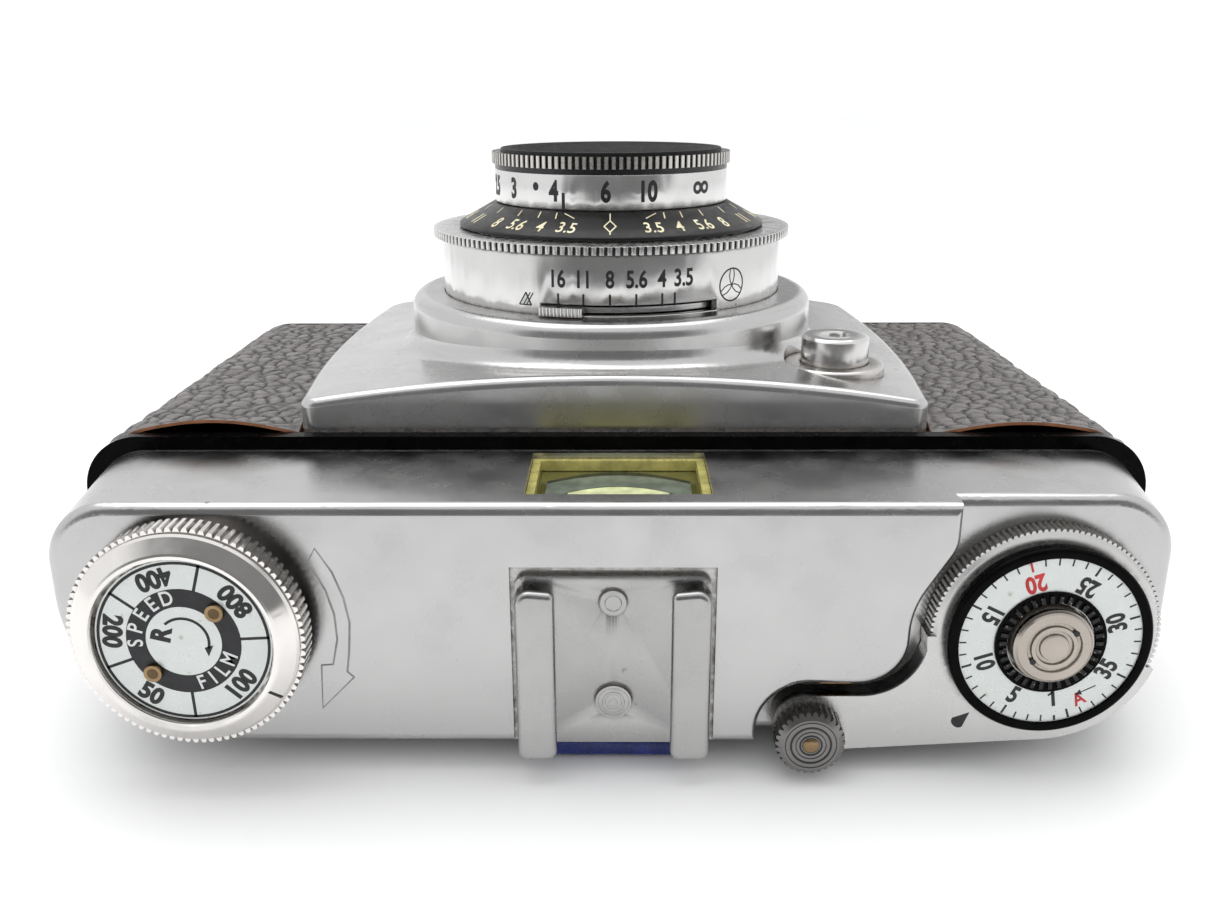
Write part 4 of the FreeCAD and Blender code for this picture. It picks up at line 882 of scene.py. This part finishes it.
def pebble(x, y, z):
    """Height of the leather's pebbles, 0 in a crease and 1 on top."""
    p = Vector((x / PEBBLE_MM, y / PEBBLE_MM, z / PEBBLE_MM))
    wobble = noise.noise_vector(p * 0.6) * 0.3
    distances = noise.voronoi(p + wobble, distance_metric="DISTANCE")[0]
    edge = distances[1] - distances[0]
    wall = min(edge / 0.3, 1.0)
    wall = wall * (2 - wall)
    dome = 1.0 - 0.5 * min(distances[0] / 0.8, 1.0) ** 2
    return wall * dome * (0.9 + 0.2 * noise.noise(p * 0.5)) + 0.05 * noise.noise(p * 3.1)


def leather_panel(name, side):
    """One panel: over the front face, round the end and down to the door."""
    low, high = node_box(name)
    front = high[2]
    edge_x = low[0] if side < 0 else high[0]
    plate_low, plate_high = node_box("front_plate")
    near, far = low[1], high[1]
    bend = 7.3
    bottom = low[2]
    belly = (plate_high[0] - plate_low[0]) / 2 + 0.3
    plate_mid = (plate_high[0] + plate_low[0]) / 2
    flat_len = abs(edge_x - side * bend - (plate_mid + side * belly))
    bend_len = bend * math.pi / 2
    total = flat_len + bend_len + (front - bend - bottom)
    step = 0.32
    across = int((far - near) / step)
    along = int(total / step)

    def plate_edge(y):
        """The plate's side is bowed; the leather follows it."""
        return belly - PLATE_BOW * (y / PLATE_HALF_Y) ** 2

    def surface(share, y):
        start = plate_mid + side * plate_edge(y)
        first = abs(edge_x - side * bend - start)
        length = share * (first + bend_len + (front - bend - bottom))
        if length < first:
            return Vector((start + side * length, y, front)), Vector((0, 0, 1))
        if length < first + bend_len:
            a = (length - first) / bend
            centre = Vector((edge_x - side * bend, y, front - bend))
            normal = Vector((side * math.sin(a), 0, math.cos(a)))
            return centre + normal * bend, normal
        drop = length - first - bend_len
        return Vector((edge_x, y, front - bend - drop)), Vector((side, 0, 0))

    thick, grain = 0.95, 0.5

    def curl(point, normal, y):
        """How far the near edge of the leather has come away and curled up."""
        start, stop, height = (-59.5, -38.0, 1.6) if side < 0 else (40.5, 60.5, 1.25)
        if normal.z < 0.8 or not start < point.x < stop or y - near > 4.5:
            return 0.0
        arch = math.sin(math.pi * (point.x - start) / (stop - start))
        return height * arch * (1 - (y - near) / 4.5) ** 2

    verts, faces = [], []
    for i in range(along + 1):
        for j in range(across + 1):
            share, y = i / along, near + (far - near) * j / across
            point, normal = surface(share, y)
            from_edge = min(y - near, far - y, share * total, (1 - share) * total)
            rounding = 1.0 - max(0.0, 1.0 - from_edge / 0.9) ** 2
            height = grain * (pebble(*point) - 1.0) * rounding - 0.35 * (1.0 - rounding)
            verts.append(point + normal * (height + curl(point, normal, y) - 0.02))
    lower = {}
    for i in range(along + 1):
        for j in range(across + 1):
            if 0 < i < along and 0 < j < across:
                continue
            lower[(i, j)] = len(verts)
            share, y = i / along, near + (far - near) * j / across
            point, normal = surface(share, y)
            lift = curl(point, normal, y)
            verts.append(point + normal * (lift - thick + min(lift * 0.4, 0.2)))

    def upper(i, j):
        return i * (across + 1) + j

    for i in range(along):
        for j in range(across):
            quad = [upper(i, j), upper(i + 1, j), upper(i + 1, j + 1), upper(i, j + 1)]
            faces.append(quad if side > 0 else quad[::-1])
    top_faces = len(faces)
    rim = [(i, 0) for i in range(along + 1)] + [(along, j) for j in range(1, across + 1)]
    rim += [(i, across) for i in range(along - 1, -1, -1)] + [(0, j) for j in range(across - 1, 0, -1)]
    for a, b in zip(rim, rim[1:] + rim[:1]):
        quad = [upper(*a), lower[a], lower[b], upper(*b)]
        faces.append(quad if side > 0 else quad[::-1])
    panel = add_object(f"{name}_grain", verts, faces, [M["leather"], M["raw"]], "camera_body", 60)
    for polygon in panel.data.polygons[top_faces:]:
        polygon.material_index = 1
        polygon.use_smooth = False
    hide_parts(name)


leather_panel("leather_left", -1)
leather_panel("leather_right", 1)


def back_leather():
    low, high = node_box("back_leather")
    step = 0.6
    nx, ny = int((high[0] - low[0]) / step), int((high[1] - low[1]) / step)
    verts, faces = [], []
    for i in range(nx + 1):
        for j in range(ny + 1):
            x = low[0] + (high[0] - low[0]) * i / nx
            y = low[1] + (high[1] - low[1]) * j / ny
            from_edge = min(x - low[0], high[0] - x, y - low[1], high[1] - y)
            rounding = 1.0 - max(0.0, 1.0 - from_edge / 0.9) ** 2
            depth = 0.22 * (1.0 - min(pebble(x, y, 40.0), 1.0)) * rounding + 0.5 * (1.0 - rounding)
            verts.append((x, y, low[2] + max(depth, 0.0)))
    for i in range(nx):
        for j in range(ny):
            a, b = i * (ny + 1) + j, (i + 1) * (ny + 1) + j
            faces.append([a, a + 1, b + 1, b])
    count = len(verts)
    corners = [(low[0], low[1]), (high[0], low[1]), (high[0], high[1]), (low[0], high[1])]
    verts += [(x, y, high[2]) for x, y in corners]
    faces.append([count, count + 1, count + 2, count + 3])
    edges = [
        ([i * (ny + 1) for i in range(nx + 1)], count, count + 1),
        ([nx * (ny + 1) + j for j in range(ny + 1)], count + 1, count + 2),
        ([i * (ny + 1) + ny for i in range(nx, -1, -1)], count + 2, count + 3),
        ([j for j in range(ny, -1, -1)], count + 3, count),
    ]
    for row, first, last in edges:
        faces.append(row + [last, first])
    panel = add_object("back_leather_grain", verts, faces, [M["leather"]], "back_door", 60)
    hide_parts("back_leather")


back_leather()


# ---------------------------------------------------------------- viewfinder optics

def finder_optics():
    """The hollow front lens behind the window, and bands of its edge painted on the glass, the pale one a
    painted highlight.
    """
    low, high = node_box("viewfinder_window")
    x, y = (low[0] + high[0]) / 2, (low[1] + high[1]) / 2
    profile = [(0.0, -2.2), (3.5, -1.9), (6.0, -1.1), (8.2, 0.0), (9.0, 0.6), (9.0, -3.4), (0.0, -3.4)]

    def place(u, v, w):
        return (x + u, y + max(min(v, 6.5), -6.5), low[2] - 1.2 + w)

    lathe("finder_front_lens", profile, "eye", "camera_body", place, 64, 30)

    def crescent(key, top, sag, bottom, bottom_sag, half):
        """One curved band painted on the glass for the lens's edge seen through it; the pale band is a
        painted highlight.
        """
        steps = [half * (i / 12 - 1) for i in range(25)]
        upper = [(u, max(top - sag * (u / half) ** 2, 0.02)) for u in steps]
        lower = [(u, max(bottom - bottom_sag * (u / half) ** 2, 0.0)) for u in steps]
        band = Drawing(0.02)
        for i in range(24):
            band.prism([lower[i], lower[i + 1], upper[i + 1], upper[i]])

        def surface(u, v, w):
            return x + u, low[1] + 0.3 + v, high[2] + 0.01 + w

        band.lay(f"finder_band_{key}", surface, key, "camera_body", "glass")

    crescent("lens_dark", 12.4, 3.2, 11.4, 3.0, 8.3)
    crescent("lens_mid", 11.3, 3.0, 7.5, 4.3, 8.3)
    # painted highlight: the pale crescent on the glass
    crescent("lens_pale_highlight", 7.3, 2.0, 4.6, 0.0, 5.75)


finder_optics()


# ---------------------------------------------------------------- floor, light and camera

def stage():
    size = 3.0
    mesh = bpy.data.meshes.new("floor")
    corners = [(-size, -size, 0), (size, -size, 0), (size, size, 0), (-size, size, 0)]
    mesh.from_pydata(corners, [], [[0, 1, 2, 3]])
    material, tree, shader = new_material("pale_floor")
    tone = ramp(tree, noise_node(tree, 3.0, 2.0), [(0.3, grey(0.94)), (0.7, grey(0.96))])
    tree.links.new(tone, shader.inputs["Base Color"])
    shader.inputs["Specular IOR Level"].default_value = 0.1
    shader.inputs["Roughness"].default_value = 0.55
    mesh.materials.append(material)
    floor = bpy.data.objects.new("floor", mesh)
    bpy.context.collection.objects.link(floor)


def area_light(name, place, target, size, power):
    data = bpy.data.lights.new(name, "AREA")
    data.shape = "RECTANGLE"
    data.size, data.size_y = size
    data.energy = power
    item = bpy.data.objects.new(name, data)
    item.location = place
    direction = Vector(target) - Vector(place)
    item.rotation_euler = direction.to_track_quat("-Z", "Y").to_euler()
    bpy.context.collection.objects.link(item)


def lights():
    world = bpy.data.worlds.new("pale_room")
    world.use_nodes = True
    world.node_tree.nodes["Background"].inputs["Color"].default_value = (0.99, 0.995, 1.0, 1.0)
    world.node_tree.nodes["Background"].inputs["Strength"].default_value = 1.06
    bpy.context.scene.world = world
    area_light("overhead", (-0.05, 0.15, 0.75), (0, 0, 0), (0.9, 0.6), 3.0)


def card(name, place, target, width, height, tones):
    """A studio card, seen only as a soft reflection in the metal; tones run from its left to its right."""
    mesh = bpy.data.meshes.new(name)
    w, h = width / 2, height / 2
    mesh.from_pydata([(-w, -h, 0), (w, -h, 0), (w, h, 0), (-w, h, 0)], [], [[0, 1, 2, 3]])
    material, tree, shader = new_material(name)
    share = fade(tree, axes(tree)[0], -w, w)
    tone = ramp(tree, share, [(at, grey(value)) for at, value in tones])
    tree.links.new(tone, shader.inputs["Base Color"])
    shader.inputs["Roughness"].default_value = 0.8
    mesh.materials.append(material)
    item = bpy.data.objects.new(name, mesh)
    item.location = place
    direction = Vector(target) - Vector(place)
    item.rotation_euler = direction.to_track_quat("Z", "Y").to_euler()
    item.visible_camera = False
    item.visible_shadow = False
    item.visible_diffuse = False
    bpy.context.collection.objects.link(item)


def camera():
    """The viewer stands in front of the top plate and looks down at the lens side."""
    pitch, yaw, roll = math.radians(18.375), math.radians(-0.587), math.radians(-0.212)
    forward = Vector((math.sin(yaw) * math.cos(pitch), math.cos(yaw) * math.cos(pitch), -math.sin(pitch)))
    level = Vector((math.cos(yaw), -math.sin(yaw), 0.0))
    lift = level.cross(forward)
    right = level * math.cos(roll) + lift * math.sin(roll)
    up = -level * math.sin(roll) + lift * math.cos(roll)
    data = bpy.data.cameras.new("viewer")
    data.lens = 33.05
    data.sensor_width = 36.0
    data.clip_start = 0.01
    item = bpy.data.objects.new("viewer", data)
    place = Vector((1.035, RAISED_Y - 109.5, 74.2)) * MM
    rotation = Matrix((right, up, -forward)).transposed().to_4x4()
    item.matrix_world = Matrix.Translation(place) @ rotation
    bpy.context.collection.objects.link(item)
    bpy.context.scene.camera = item


stage()
lights()
card("viewer_card", (0.0, -0.36, 0.195), (0, 0, 0.195), 1.5, 0.38,
     [(0.0, 0.95), (0.14, 0.75), (0.28, 0.17), (0.7, 0.15), (0.86, 0.75), (1.0, 0.95)])
card("low_card", (0.0, -0.26, 0.004), (0.0, -0.26, 1.0), 0.44, 0.2,
     [(0.0, 0.95), (0.16, 0.85), (0.34, 0.2), (0.66, 0.16), (0.84, 0.8), (1.0, 0.95)])
card("far_card", (0.0, 0.8, 0.72), (0, 0, 0.05), 2.4, 1.4,
     [(0.0, 0.95), (0.36, 0.95), (0.49, 0.42), (0.6, 0.3), (0.69, 0.9), (1.0, 0.95)])
camera()
bpy.context.scene.view_settings.view_transform = "Standard"
